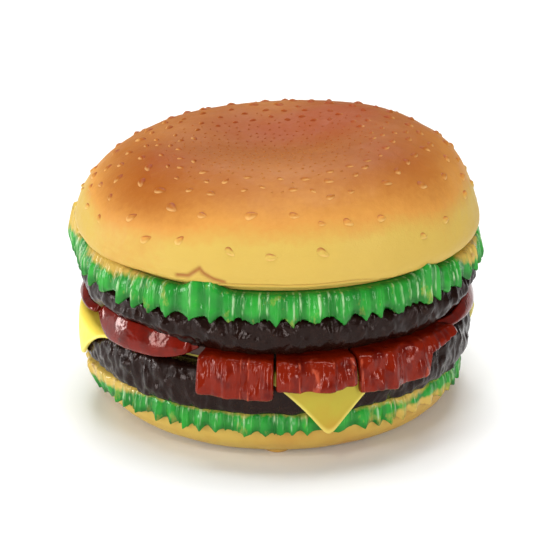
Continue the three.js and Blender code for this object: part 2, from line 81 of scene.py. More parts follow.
LID_PATTY = box_mm("upper_patty")
LID_LETTUCE = box_mm("upper_lettuce")
BASE_PATTY = box_mm("lower_patty")
BASE_LETTUCE = box_mm("lower_lettuce")
BASE_BUN = box_mm("bottom_bun")
TOP_BUN = box_mm("top_bun")
CHEESE = box_mm("cheese_slice")
PIN = box_mm("hinge_pin")
JACK = box_mm("line_jack")
KEY_NAMES = [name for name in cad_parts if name.startswith("key_")
             and name not in ("key_tray", "key_mat")]
RING_INNER = 66.4  # the filling and the lid's patty start here, outside the trays' flanges
TRAY_R = 66.0


# ---- Sizes and colours a user may change -------------------------------------------------

def colour(name, description, value):
    return bpy.props.FloatVectorProperty(
        name=name, description=description, default=value, size=3, min=0, max=1, subtype="COLOR",
    )


def length(name, description, value):
    return bpy.props.FloatProperty(
        name=name, description=description, default=value * MM, min=0, unit="LENGTH",
        subtype="DISTANCE",
    )


class BURGER_PG_bun(bpy.types.PropertyGroup):
    yellow: colour("Yellow", "Untoasted skin round the side", srgb(197, 165, 79))
    gold: colour("Gold", "Skin on the shoulder", srgb(198, 138, 64))
    tan: colour("Tan", "Skin between the toast and the shoulder", srgb(167, 103, 42))
    toast: colour("Toast", "Toasted skin on the top", srgb(150, 80, 20))
    deep_toast: colour("Deep toast", "The darkest skin, towards the back", srgb(146, 66, 12))
    # Painted shade: this colour darkens the crease, the seam groove and the sides of seeds that
    # face inwards; the crease line is partly the bun's own reddish-brown paint too.
    crease: colour("Crease", "Creases, and the sides of seeds that face inwards",
                   srgb(140, 60, 34))
    # Partly painted light, partly the seeds' own untoasted paint: the pale colour on the sides of
    # seeds that face outwards.
    seed_light: colour("Seed light", "The sides of seeds that face outwards",
                       srgb(232, 186, 118))
    seed_length: length("Seed length", "Length of the largest sesame seeds", 5.3)


class BURGER_PG_filling(bpy.types.PropertyGroup):
    leaf: colour("Leaf", "Lettuce green", srgb(48, 158, 52))
    leaf_deep: colour("Deep leaf", "Deeper lettuce green", srgb(32, 132, 44))
    # Partly painted highlight: the pale colour along the fold crests stands in for glossy
    # highlights as well as pale ribs.
    leaf_pale: colour("Pale leaf", "Lettuce along its ribs", srgb(178, 210, 160))
    # Painted shade: this dark green darkens the leaf's lower edge and the valleys between its
    # lobes.
    leaf_tip: colour("Leaf tip", "Dark lower edge of the lettuce", srgb(22, 84, 30))
    leaf_bare: colour("Bare leaf", "Where the bun's paint runs over the leaf",
                      srgb(208, 170, 82))
    patty: colour("Patty", "Patty brown", srgb(25, 11, 7))
    patty_pale: colour("Pale patty", "Worn paint on the patty's bumps", srgb(40, 22, 16))
    cheese: colour("Cheese", "Cheese yellow", srgb(172, 157, 50))
    cheese_warm: colour("Warm cheese", "Cheese towards its corners", srgb(178, 138, 42))
    tomato: colour("Tomato", "Tomato red", srgb(108, 17, 4))
    bacon: colour("Bacon", "Bacon red", srgb(118, 24, 3))
    # Partly painted highlight: the pale streaks on the rib crests are fat and also stand in for
    # wet highlights.
    bacon_pale: colour("Bacon fat", "Pale streaks of the bacon", srgb(172, 72, 48))
    leaf_lobe: length("Leaf lobe", "How far the leaf's lobes hang past its valleys", 3.0)
    patty_bumps: length("Patty bumps", "Height of the patty's bumps", 1.5)


class BURGER_PG_phone(bpy.types.PropertyGroup):
    tray: colour("Tray", "Inner casing", srgb(78, 52, 40))
    key: colour("Key", "Key caps", srgb(238, 232, 214))
    key_red: colour("Mute key", "Mute key cap", srgb(176, 52, 40))
    key_green: colour("Redial key", "Redial key cap", srgb(86, 140, 76))
    key_grey: colour("Flash key", "Flash key cap", srgb(150, 146, 138))
    glyph: colour("Glyph", "Printed digits", srgb(42, 38, 36))


# ---- Node trees --------------------------------------------------------------------------

class Finish:
    """A material whose nodes are added one by one round a Principled shader."""

    def __init__(self, name, roughness=0.5, metallic=0.0, specular=0.5, gloss=(1, 1, 1),
                 subsurface=0.0, ior=1.5):
        self.material = bpy.data.materials.new(name)
        self.material.use_nodes = True
        self.tree = self.material.node_tree
        self.tree.nodes.clear()
        self.shader = self.tree.nodes.new("ShaderNodeBsdfPrincipled")
        output = self.tree.nodes.new("ShaderNodeOutputMaterial")
        self.tree.links.new(self.shader.outputs["BSDF"], output.inputs["Surface"])
        values = {
            "Roughness": roughness, "Metallic": metallic, "Specular IOR Level": specular,
            "Specular Tint": (*gloss, 1.0), "IOR": ior,
        }
        for socket, value in values.items():
            self.shader.inputs[socket].default_value = value
        if subsurface:
            self.shader.inputs["Subsurface Weight"].default_value = subsurface
            self.shader.inputs["Subsurface Radius"].default_value = (1.0, 0.5, 0.25)
            self.shader.inputs["Subsurface Scale"].default_value = 2 * MM
        self.place = self.tree.nodes.new("ShaderNodeTexCoord").outputs["Object"]

    def add(self, kind, inputs=(), **settings):
        node = self.tree.nodes.new("ShaderNode" + kind)
        for key, value in settings.items():
            setattr(node, key, value)
        for socket, value in dict(inputs).items():
            if isinstance(value, bpy.types.NodeSocket):
                self.tree.links.new(value, node.inputs[socket])
            else:
                node.inputs[socket].default_value = value
        return node

    def attribute(self, name):
        return self.add("Attribute", attribute_name=name).outputs["Fac"]

    def stretched(self, x=1.0, y=1.0, z=1.0):
        return self.add("Mapping", {"Vector": self.place, "Scale": (x, y, z)}).outputs["Vector"]

    def noise(self, size_mm, detail=3.0, roughness=0.5, distortion=0.0, place=None):
        node = self.add("TexNoise", {
            "Vector": place or self.place, "Scale": 1000 / size_mm, "Detail": detail,
            "Roughness": roughness, "Distortion": distortion,
        })
        return node.outputs["Fac"]

    def cells(self, size_mm, feature="F1", place=None):
        node = self.add("TexVoronoi", {
            "Vector": place or self.place, "Scale": 1000 / size_mm,
        }, feature=feature)
        return node.outputs["Distance"]

    def math(self, operation, first, second=0.0, clamp=False):
        return self.add("Math", {0: first, 1: second}, operation=operation,
                        use_clamp=clamp).outputs["Value"]

    def remap(self, value, low, high, to_low=0.0, to_high=1.0):
        return self.add("MapRange", {
            "Value": value, "From Min": low, "From Max": high, "To Min": to_low,
            "To Max": to_high,
        }).outputs["Result"]

    def mix(self, share, first, second):
        node = self.add("Mix", data_type="RGBA", clamp_factor=True)
        for socket, value in ((node.inputs[0], share), (node.inputs[6], first),
                              (node.inputs[7], second)):
            if isinstance(value, bpy.types.NodeSocket):
                self.tree.links.new(value, socket)
            elif isinstance(value, (int, float)):
                socket.default_value = value
            else:
                socket.default_value = (*value, 1.0)
        return node.outputs[2]

    def ramp(self, value, stops):
        node = self.add("ValToRGB", {"Fac": value})
        elements = node.color_ramp.elements
        while len(elements) < len(stops):
            elements.new(0.5)
        for element, (position, tint) in zip(elements, stops):
            element.position = position
            element.color = (*tint, 1.0)
        return node.outputs["Color"]

    def paint(self, tint):
        self.use(tint, "Base Color")

    def use(self, value, socket):
        self.tree.links.new(value, self.shader.inputs[socket])

    def bump(self, height, distance_mm):
        """A bump over the one before it."""
        before = self.shader.inputs["Normal"]
        node = self.add("Bump", {"Height": height, "Distance": distance_mm * MM})
        if before.links:
            self.tree.links.new(before.links[0].from_socket, node.inputs["Normal"])
        self.tree.links.new(node.outputs["Normal"], before)


def once(build):
    """A material is made the first time it's asked for, and shared after that."""
    made = {}

    def get(*choice):
        if choice not in made:
            made[choice] = build(*choice)
        return made[choice]
    return get


@once
def bun_finish():
    """Skin that is toasted by its toast mark, with painted shade and painted light on the inward
    and outward sides of its seeds.
    """
    look = bpy.context.scene.burger_bun
    finish = Finish("painted_bun", specular=0.12, subsurface=0.05)
    patchy = finish.remap(finish.noise(16, 4, 0.55), 0.3, 0.7, -0.05, 0.05)
    fine = finish.remap(finish.noise(2.2, 3, 0.6), 0.3, 0.7, -0.03, 0.03)
    level = finish.math("ADD", finish.attribute("toast"), finish.math("ADD", patchy, fine), True)
    skin = finish.ramp(level, [
        (0.00, look.yellow), (0.08, look.yellow), (0.33, look.gold), (0.60, look.tan),
        (0.72, [0.5 * (a + b) for a, b in zip(look.tan, look.toast)]),
        (0.86, look.toast), (1.00, look.deep_toast),
    ])
    # The shade mark paints shade into creases, the seam and the inward sides of seeds, and painted
    # light onto their outward sides where it is below 0.
    shade = finish.attribute("shade")
    skin = finish.mix(finish.remap(shade, 0.05, 1.0, 0.0, 0.7), skin, look.crease)
    skin = finish.mix(finish.remap(shade, -0.05, -1.0, 0.0, 0.5), skin, look.seed_light)
    finish.paint(skin)
    finish.use(finish.remap(finish.noise(9, 3), 0.3, 0.7, 0.42, 0.55), "Roughness")
    finish.bump(finish.noise(2.4, 4, 0.6), 0.16)
    finish.bump(finish.noise(0.6, 2), 0.04)
    return finish.material


@once
def bottom_bun_finish():
    look = bpy.context.scene.burger_bun
    finish = Finish("painted_bottom_bun", specular=0.14, subsurface=0.05)
    pale = [0.95 * part for part in look.yellow]
    blush = finish.remap(finish.noise(22, 3), 0.45, 0.75)
    finish.paint(finish.mix(blush, pale, [0.5 * (a + b) for a, b in zip(pale, look.tan)]))
    finish.use(finish.remap(finish.noise(8, 3), 0.3, 0.7, 0.40, 0.55), "Roughness")
    finish.bump(finish.noise(3.0, 4, 0.6), 0.2)
    return finish.material


@once
def leaf_finish():
    look = bpy.context.scene.burger_filling
    finish = Finish("painted_leaf", specular=1.0, gloss=(0.9, 1.0, 0.86), ior=1.22)
    tall = finish.stretched(1, 1, 0.18)
    grain = finish.remap(finish.noise(1.2, 3, place=tall), 0.42, 0.56)
    some = finish.remap(finish.noise(12, 2), 0.36, 0.50)
    patches = finish.math("MULTIPLY", grain, some)
    # Pale ribs on the fold crests, partly painted highlight.
    pale = finish.math("MULTIPLY", finish.attribute("pale_and_highlight_streak"), patches, True)
    green = finish.mix(finish.remap(finish.noise(11, 3), 0.35, 0.65), look.leaf, look.leaf_deep)
    # Painted shade in the valleys between the lobes and along the leaf's lower tips.
    green = finish.mix(finish.math("MULTIPLY", finish.attribute("shaded_valley"), 0.42), green,
                       look.leaf_tip)
    green = finish.mix(finish.math("MULTIPLY", pale, 0.8), green, look.leaf_pale)
    tip = finish.math("MULTIPLY", finish.attribute("tip"),
                      finish.remap(finish.noise(7, 2), 0.35, 0.65, 0.1, 0.8), True)
    green = finish.mix(tip, green, look.leaf_tip)
    ragged = finish.math("ADD", finish.attribute("fade"),
                         finish.remap(finish.noise(4.5, 4, 0.6, place=finish.stretched(1, 1, 0.5)),
                                      0.3, 0.7, -0.45, 0.45))
    bare = finish.remap(ragged, 0.2, 0.85)
    brown = finish.remap(finish.noise(4, 3), 0.60, 0.70, 0.0, 0.6)
    bun = finish.mix(brown, look.leaf_bare, srgb(134, 84, 44))
    finish.paint(finish.mix(finish.math("MULTIPLY", bare, 0.9, True), green, bun))
    finish.use(finish.remap(finish.noise(5, 3), 0.3, 0.7, 0.12, 0.22), "Roughness")
    finish.bump(finish.noise(1.6, 2, place=tall), 0.22)
    return finish.material


@once
def patty_finish():
    look = bpy.context.scene.burger_filling
    finish = Finish("painted_patty", specular=1.0, gloss=(1.0, 0.86, 0.82), ior=1.18)
    worn = finish.remap(finish.noise(3.4, 5, 0.65), 0.52, 0.78)
    brown = finish.mix(worn, look.patty, look.patty_pale)
    red = finish.remap(finish.noise(14, 2), 0.55, 0.75, 0.0, 0.5)
    finish.paint(finish.mix(red, brown, srgb(40, 18, 13)))
    finish.use(finish.remap(finish.noise(9, 3), 0.38, 0.62, 0.10, 0.30), "Roughness")
    finish.bump(finish.noise(1.4, 3, 0.6), 0.16)
    return finish.material


@once
def cheese_finish():
    look = bpy.context.scene.burger_filling
    finish = Finish("painted_cheese", specular=0.2, subsurface=0.08)
    warm = finish.remap(finish.add("SeparateXYZ", {"Vector": finish.place}).outputs["Z"],
                        0.026, 0.015)
    patch = finish.math("ADD", warm, finish.remap(finish.noise(8, 2), 0.3, 0.7, -0.2, 0.2), True)
    tint = finish.mix(patch, look.cheese, look.cheese_warm)
    # Painted light: the left hanging corner is painted a brighter yellow, as if lit.
    tint = finish.mix(finish.attribute("corner"), tint, srgb(246, 218, 78))
    # Painted highlight: the pale colour along the slice's rounded edge.
    rim = finish.attribute("edge")
    tint = finish.mix(finish.math("MULTIPLY", rim, 0.5), tint, srgb(236, 222, 120))
    # Painted shade: a dark brown patch on the hanging cheese under the front left tomato.
    tomato_shade_mask = finish.math("MULTIPLY", finish.attribute("tomato_shade"),
                        finish.remap(finish.noise(4, 3), 0.35, 0.6, 0.1, 0.8), True)
    finish.paint(finish.mix(tomato_shade_mask, tint, srgb(96, 78, 34)))
    finish.use(finish.remap(finish.noise(6, 3), 0.3, 0.7, 0.34, 0.5), "Roughness")
    finish.bump(finish.noise(4, 3), 0.12)
    finish.bump(finish.noise(0.7, 2), 0.03)
    return finish.material


@once
def tomato_finish():
    look = bpy.context.scene.burger_filling
    finish = Finish("painted_tomato", specular=1.0, gloss=(1.0, 0.62, 0.56), ior=1.26)
    deep = finish.remap(finish.noise(6, 3), 0.4, 0.7)
    red = finish.mix(deep, look.tomato, srgb(84, 12, 4))
    brown = finish.remap(finish.noise(3, 3), 0.6, 0.75, 0.0, 0.6)
    finish.paint(finish.mix(brown, red, srgb(60, 26, 20)))
    finish.use(finish.remap(finish.noise(5, 2), 0.3, 0.7, 0.09, 0.16), "Roughness")
    finish.bump(finish.noise(5, 2), 0.3)
    return finish.material


@once
def bacon_finish():
    look = bpy.context.scene.burger_filling
    finish = Finish("painted_bacon", specular=1.0, gloss=(1.0, 0.62, 0.56), ior=1.25)
    strands = finish.noise(2.2, 3, 0.6, 0.4, place=finish.stretched(1, 1, 0.22))
    # Pale fat streaks on the rib crests, partly painted highlight.
    fat_and_highlight = finish.math("MULTIPLY", finish.attribute("pale_and_highlight_streak"),
                      finish.remap(strands, 0.45, 0.62), True)
    red = finish.mix(finish.remap(finish.noise(5, 3), 0.45, 0.7), look.bacon, srgb(88, 10, 3))
    finish.paint(finish.mix(fat_and_highlight, red, look.bacon_pale))
    finish.use(finish.remap(finish.noise(3, 2), 0.3, 0.7, 0.09, 0.18), "Roughness")
    finish.bump(strands, 0.2)
    return finish.material


@once
def plastic_finish(name, tint, roughness):
    """Moulded plastic with a fine spark-eroded grain and faint handling marks."""
    finish = Finish(name, specular=0.5)
    marks = finish.remap(finish.noise(7, 4, 0.6), 0.35, 0.7, 0.0, 0.35)
    finish.paint(finish.mix(marks, tint, [0.86 * part for part in tint]))
    finish.use(finish.remap(finish.noise(5, 3), 0.3, 0.7, roughness - 0.06, roughness + 0.08),
               "Roughness")
    finish.bump(finish.noise(0.35, 2), 0.02)
    return finish.material


@once
def rubber_finish():
    finish = Finish("black_rubber", specular=0.3)
    dust = finish.remap(finish.noise(4, 4), 0.45, 0.75)
    finish.paint(finish.mix(dust, srgb(30, 30, 31), srgb(58, 57, 55)))
    finish.use(finish.remap(finish.noise(3, 2), 0.3, 0.7, 0.68, 0.85), "Roughness")
    finish.bump(finish.noise(0.5, 2), 0.04)
    return finish.material


@once
def foot_finish():
    finish = Finish("tan_rubber", specular=0.2)
    dust = finish.remap(finish.noise(4, 4), 0.4, 0.75)
    finish.paint(finish.mix(dust, srgb(190, 148, 72), srgb(164, 126, 66)))
    finish.use(finish.remap(finish.noise(3, 2), 0.3, 0.7, 0.62, 0.8), "Roughness")
    finish.bump(finish.noise(0.5, 2), 0.04)
    return finish.material


@once
def steel_finish():
    finish = Finish("plated_steel", metallic=1.0)
    turned = finish.noise(0.8, 2, place=finish.stretched(1, 1, 6))
    finish.paint(finish.mix(turned, srgb(176, 176, 178), srgb(206, 205, 202)))
    finish.use(finish.remap(turned, 0.3, 0.7, 0.24, 0.42), "Roughness")
    finish.bump(turned, 0.02)
    return finish.material


@once
def board_finish():
    finish = Finish("solder_mask", specular=0.6)
    tracks = finish.cells(3.2, "DISTANCE_TO_EDGE")
    copper = finish.remap(tracks, 0.06, 0.02)
    finish.paint(finish.mix(copper, srgb(20, 84, 40), srgb(52, 124, 62)))
    finish.use(finish.remap(finish.noise(6, 2), 0.3, 0.7, 0.25, 0.4), "Roughness")
    finish.bump(copper, 0.05)
    return finish.material


@once
def paper_finish():
    finish = Finish("pressed_paper", specular=0.2)
    finish.paint(finish.mix(finish.noise(0.9, 4), srgb(58, 50, 44), srgb(84, 74, 64)))
    finish.use(finish.remap(finish.noise(2, 2), 0.3, 0.7, 0.8, 0.92), "Roughness")
    finish.bump(finish.noise(0.4, 3), 0.06)
    return finish.material


# ---- Mesh building -----------------------------------------------------------------------

def smooth_line(points, count, closed=False):
    """A Catmull-Rom curve through the points, as count points evenly along it."""
    points = np.array(points, float)
    if closed:
        padded = np.vstack([points[-1], points, points[:2]])
    else:
        padded = np.vstack([2 * points[0] - points[1], points, 2 * points[-1] - points[-2]])
    dense = []
    for k in range(1, len(padded) - 2):
        p0, p1, p2, p3 = padded[k - 1:k + 3]
        for t in np.linspace(0, 1, 24, endpoint=False):
            dense.append(0.5 * (2 * p1 + (p2 - p0) * t + (2 * p0 - 5 * p1 + 4 * p2 - p3) * t ** 2
                                + (3 * p1 - p0 - 3 * p2 + p3) * t ** 3))
    dense.append(padded[-2])
    dense = np.array(dense)
    run = np.concatenate([[0], np.cumsum(np.linalg.norm(np.diff(dense, axis=0), axis=1))])
    wanted = np.linspace(0, run[-1], count, endpoint=not closed)
    return np.stack([np.interp(wanted, run, dense[:, k]) for k in range(2)], 1)


def smooth_step(low, high, value):
    share = np.clip((value - low) / (high - low), 0, 1)
    return share * share * (3 - 2 * share)


def apart(first, second):
    """Degrees between two azimuths."""
    return np.abs((first - second + 540) % 360 - 180)


def fractal(points, size, octaves=3, seed=0.0):
    """Noise from about -1 to 1 at each point, its largest lumps size millimetres apart."""
    flat = points.reshape(-1, 3) / size + seed * 7.31
    values = [noise.fractal(Vector(place), 0.9, 2.0, octaves) for place in flat.tolist()]
    return np.array(values).reshape(points.shape[:-1])


class Ring:
    """An outline of [radius, height] points in millimetres, carried round the upright axis.

    r and z hold one row for each azimuth, and may be changed before the mesh is made. Azimuth 0
    is the front, and 90 the right. An outline that isn't closed starts and ends on the axis.
    """

    def __init__(self, outline, steps, start=0.0, end=360.0, closed=True):
        self.full = end - start == 360
        rows = steps if self.full else steps + 1
        self.azimuth = np.linspace(start, end, rows, endpoint=not self.full)[:, None]
        self.u = (self.azimuth - start) / (end - start)
        self.r = np.tile(np.asarray(outline)[:, 0], (rows, 1))
        self.z = np.tile(np.asarray(outline)[:, 1], (rows, 1))
        self.closed = closed
        self.marks = {}

    def points(self):
        angle = np.radians(self.azimuth)
        return np.stack([self.r * np.sin(angle), -self.r * np.cos(angle), self.z], -1)

    def mark(self, name, values):
        self.marks[name] = np.broadcast_to(values, self.r.shape)

    def make(self, name, material, move=(0, 0, 0)):
        rows, columns = self.r.shape
        grid = np.arange(rows * columns).reshape(rows, columns)
        after = np.roll(grid, -1, 0) if self.full else grid[1:]
        before = grid if self.full else grid[:-1]
        if self.closed:
            quads = np.stack([before, after, np.roll(after, -1, 1), np.roll(before, -1, 1)], -1)
        else:
            quads = np.stack([before[:, :-1], after[:, :-1], after[:, 1:], before[:, 1:]], -1)
        return mesh_object(name, (self.points() + move).reshape(-1, 3),
                           quads.reshape(-1, 4).tolist(), material,
                           {key: v.ravel() for key, v in self.marks.items()})


def mesh_object(name, points, faces, material, marks=None, weld=True):
    """An object of points in millimetres. marks are numbers kept for its material."""
    mesh = bpy.data.meshes.new(name)
    mesh.from_pydata((np.asarray(points) * MM).tolist(), [], faces)
    for key, values in (marks or {}).items():
        layer = mesh.attributes.new(key, "FLOAT", "POINT")
        layer.data.foreach_set("value", np.asarray(values, np.float32))
    tidy_mesh(mesh, weld)
    mesh.materials.append(material)
    made = bpy.data.objects.new(name, mesh)
    bpy.context.scene.collection.objects.link(made)
    return made


def tidy_mesh(mesh, weld=True):
    """Doubles are merged, the faces turned outwards and shaded smooth."""
    work = bmesh.new()
    work.from_mesh(mesh)
    if weld:
        bmesh.ops.remove_doubles(work, verts=work.verts, dist=0.002 * MM)
        bmesh.ops.dissolve_degenerate(work, edges=work.edges, dist=0.001 * MM)
    bmesh.ops.recalc_face_normals(work, faces=work.faces)
    work.to_mesh(mesh)
    work.free()
    mesh.shade_smooth()


def finish_piece(made, body, slot, *nodes):
    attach(made, body)
    if nodes:
        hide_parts(*nodes)
    return made


def apply_modifiers(made):
    """The object's mesh becomes what its modifiers make of it."""
    bpy.context.view_layer.update()
    graph = bpy.context.evaluated_depsgraph_get()
    mesh = bpy.data.meshes.new_from_object(made.evaluated_get(graph))
    made.modifiers.clear()
    made.data = mesh
    return made


def cut(made, cutters):
    """The cutters' shapes are taken out of the object."""
    for cutter in cutters:
        tool = made.modifiers.new("cut", "BOOLEAN")
        tool.object = cutter
        tool.operation = "DIFFERENCE"
        tool.solver = "EXACT"
    apply_modifiers(made)
    for cutter in cutters:
        bpy.data.objects.remove(cutter)
    return made


def soften(made, width_mm):
    """Small rounded edges where faces meet at more than 35 degrees."""
    bevel = made.modifiers.new("edges", "BEVEL")
    bevel.width = width_mm * MM
    bevel.segments = 2
    bevel.limit_method = "ANGLE"
    bevel.angle_limit = math.radians(35)
    bevel.harden_normals = False
    made.data.shade_smooth()
    normals = made.modifiers.new("normals", "WEIGHTED_NORMAL")
    normals.keep_sharp = True
    return made


def block(name, low, high, material, turn=0.0):
    """A plain box between two corners in millimetres, turned about the upright axis."""
    (x0, y0, z0), (x1, y1, z1) = low, high
    corners = [(x, y, z) for z in (z0, z1) for y in (y0, y1) for x in (x0, x1)]
    faces = [(0, 2, 3, 1), (4, 5, 7, 6), (0, 1, 5, 4), (2, 6, 7, 3), (0, 4, 6, 2), (1, 3, 7, 5)]
    spin = Matrix.Rotation(math.radians(turn), 3, "Z")
    points = [tuple(spin @ Vector(corner)) for corner in corners]
    return mesh_object(name, points, faces, material, weld=False)


def lathe(name, outline, steps, material, x=0.0, y=0.0, closed=False):
    """A turned piece about an upright axis through x, y."""
    return Ring(outline, steps, closed=closed).make(name, material, (x, y, 0))


def joined(name, parts):
    """Several objects as one, with the first one's material."""
    points, faces = [], []
    for part in parts:
        base = len(points)
        points += [tuple(v.co / MM) for v in part.data.vertices]
        faces += [[base + index for index in face.vertices] for face in part.data.polygons]
    material = parts[0].data.materials[0]
    for part in parts:
        bpy.data.objects.remove(part)
    return mesh_object(name, points, faces, material, weld=False)


# ---- The top bun -------------------------------------------------------------------------

BUN_LEAN = 0.055  # how much the bun's top rises for each millimetre to the right
BUN_WIDE = TOP_BUN[1].x
BUN_RIM = LID_LETTUCE[1].z + 0.4


def bun_outline(count, shares):
    """Part of the bun's outer skin, as shares of its width and height."""
    return smooth_line([(BUN_WIDE * r, BUN_RIM + 35.2 * z) for r, z in shares], count)


def lean_up(points):
    """The skin's points, raised towards the right as the bun leans."""
    low = BUN_RIM + 5.3
    raised = points.copy()
    sideways = np.minimum(points[..., 0], 34 + 0.25 * (points[..., 0] - 34))
    raised[..., 2] += BUN_LEAN * sideways * smooth_step(low, low + 27, points[..., 2])
    return raised


def spot(points, x, y, size):
    """1 at a place seen from above, and less away from it."""
    away = (points[..., 0] - x) ** 2 + (points[..., 1] - y) ** 2
    return np.exp(-away / size ** 2)


def toast_level(points):
    """How toasted the skin is: a broken ring round the top, deepest at the back of the hollow."""
    radius = np.hypot(points[..., 0], points[..., 1])
    level = np.interp(radius, [0, 16, 30, 45, 51, 57.5, 64.8, 69.8, 73, 75],
                      [0.74, 0.76, 0.76, 0.72, 0.69, 0.62, 0.47, 0.30, 0.11, 0.0])
    level = level * smooth_step(BUN_RIM + 8, BUN_RIM + 20, points[..., 2])
    level = level + 0.30 * spot(points, 20, 20, 24) + 0.18 * spot(points, -12, 18, 18)
    level = level + 0.18 * spot(points, -44, -24, 17) + 0.16 * spot(points, 42, -28, 17)
    level = level + 0.19 * spot(points, -48, -47, 20) + 0.06 * spot(points, 50, -40, 20)
    level = level - 0.07 * spot(points, 0, -48, 17) - 0.12 * spot(points, -40, 16, 12)
    return level - 0.16 * spot(points, -4, 42, 15)


def skin_swell(points):
    """How far the skin stands out of its plain shape, in gentle lumps."""
    swell = 0.8 * fractal(points, 46, 2, 1) + 0.2 * fractal(points, 9, 3, 2)
    return swell * smooth_step(2, 9, np.hypot(points[..., 0], points[..., 1]))


def seam_height(azimuth):
    """The line where the bun's lip meets the skin above it."""
    middle = 1 - smooth_step(14, 32, apart(azimuth, 5))
    return BUN_RIM + 1.4 + 2.3 * middle


def crease_line(azimuth, height):
    """1 along the wavy crease over the leaf at the front left, and less away from it."""
    places = [(-27.0, 4.5), (-23.6, 5.0), (-20.6, 8.2), (-19.4, 6.7), (-16.8, 5.2), (-13.8, 4.3)]
    best = np.full(np.broadcast(azimuth, height).shape, 1e9)
    across = (azimuth + 360) % 360 - 360
    for (az0, z0), (az1, z1) in zip(places, places[1:]):
        run_x, run_z = (az1 - az0) * 1.3, z1 - z0
        off_x, off_z = (across - az0) * 1.3, height - BUN_RIM - z0
        share = np.clip((off_x * run_x + off_z * run_z) / (run_x ** 2 + run_z ** 2), 0, 1)
        away = (off_x - share * run_x) ** 2 + (off_z - share * run_z) ** 2
        best = np.minimum(best, away)
    return np.exp(-best / 0.8 ** 2)


# For each size of seed: places tried, its zone's inner and outer edge, and room in millimetres.
SEED_SIZES = ((5000, 1.16, 9, 8.4), (2600, 0.80, 1.3, 5.4), (9000, 0, 1.0, 2.7))
SEED_REACH = 74.2
# The zone is 1 at the edge of the hollow in the bun's top, an ellipse.
HOLLOW_HALF_X, HOLLOW_HALF_Y, HOLLOW_MIDDLE_Y = 41, 46, -13


def direction(outline):
    """The unit vector along an outline at each of its points."""
    run = np.gradient(outline, axis=0)
    return run / np.linalg.norm(run, axis=1)[:, None]


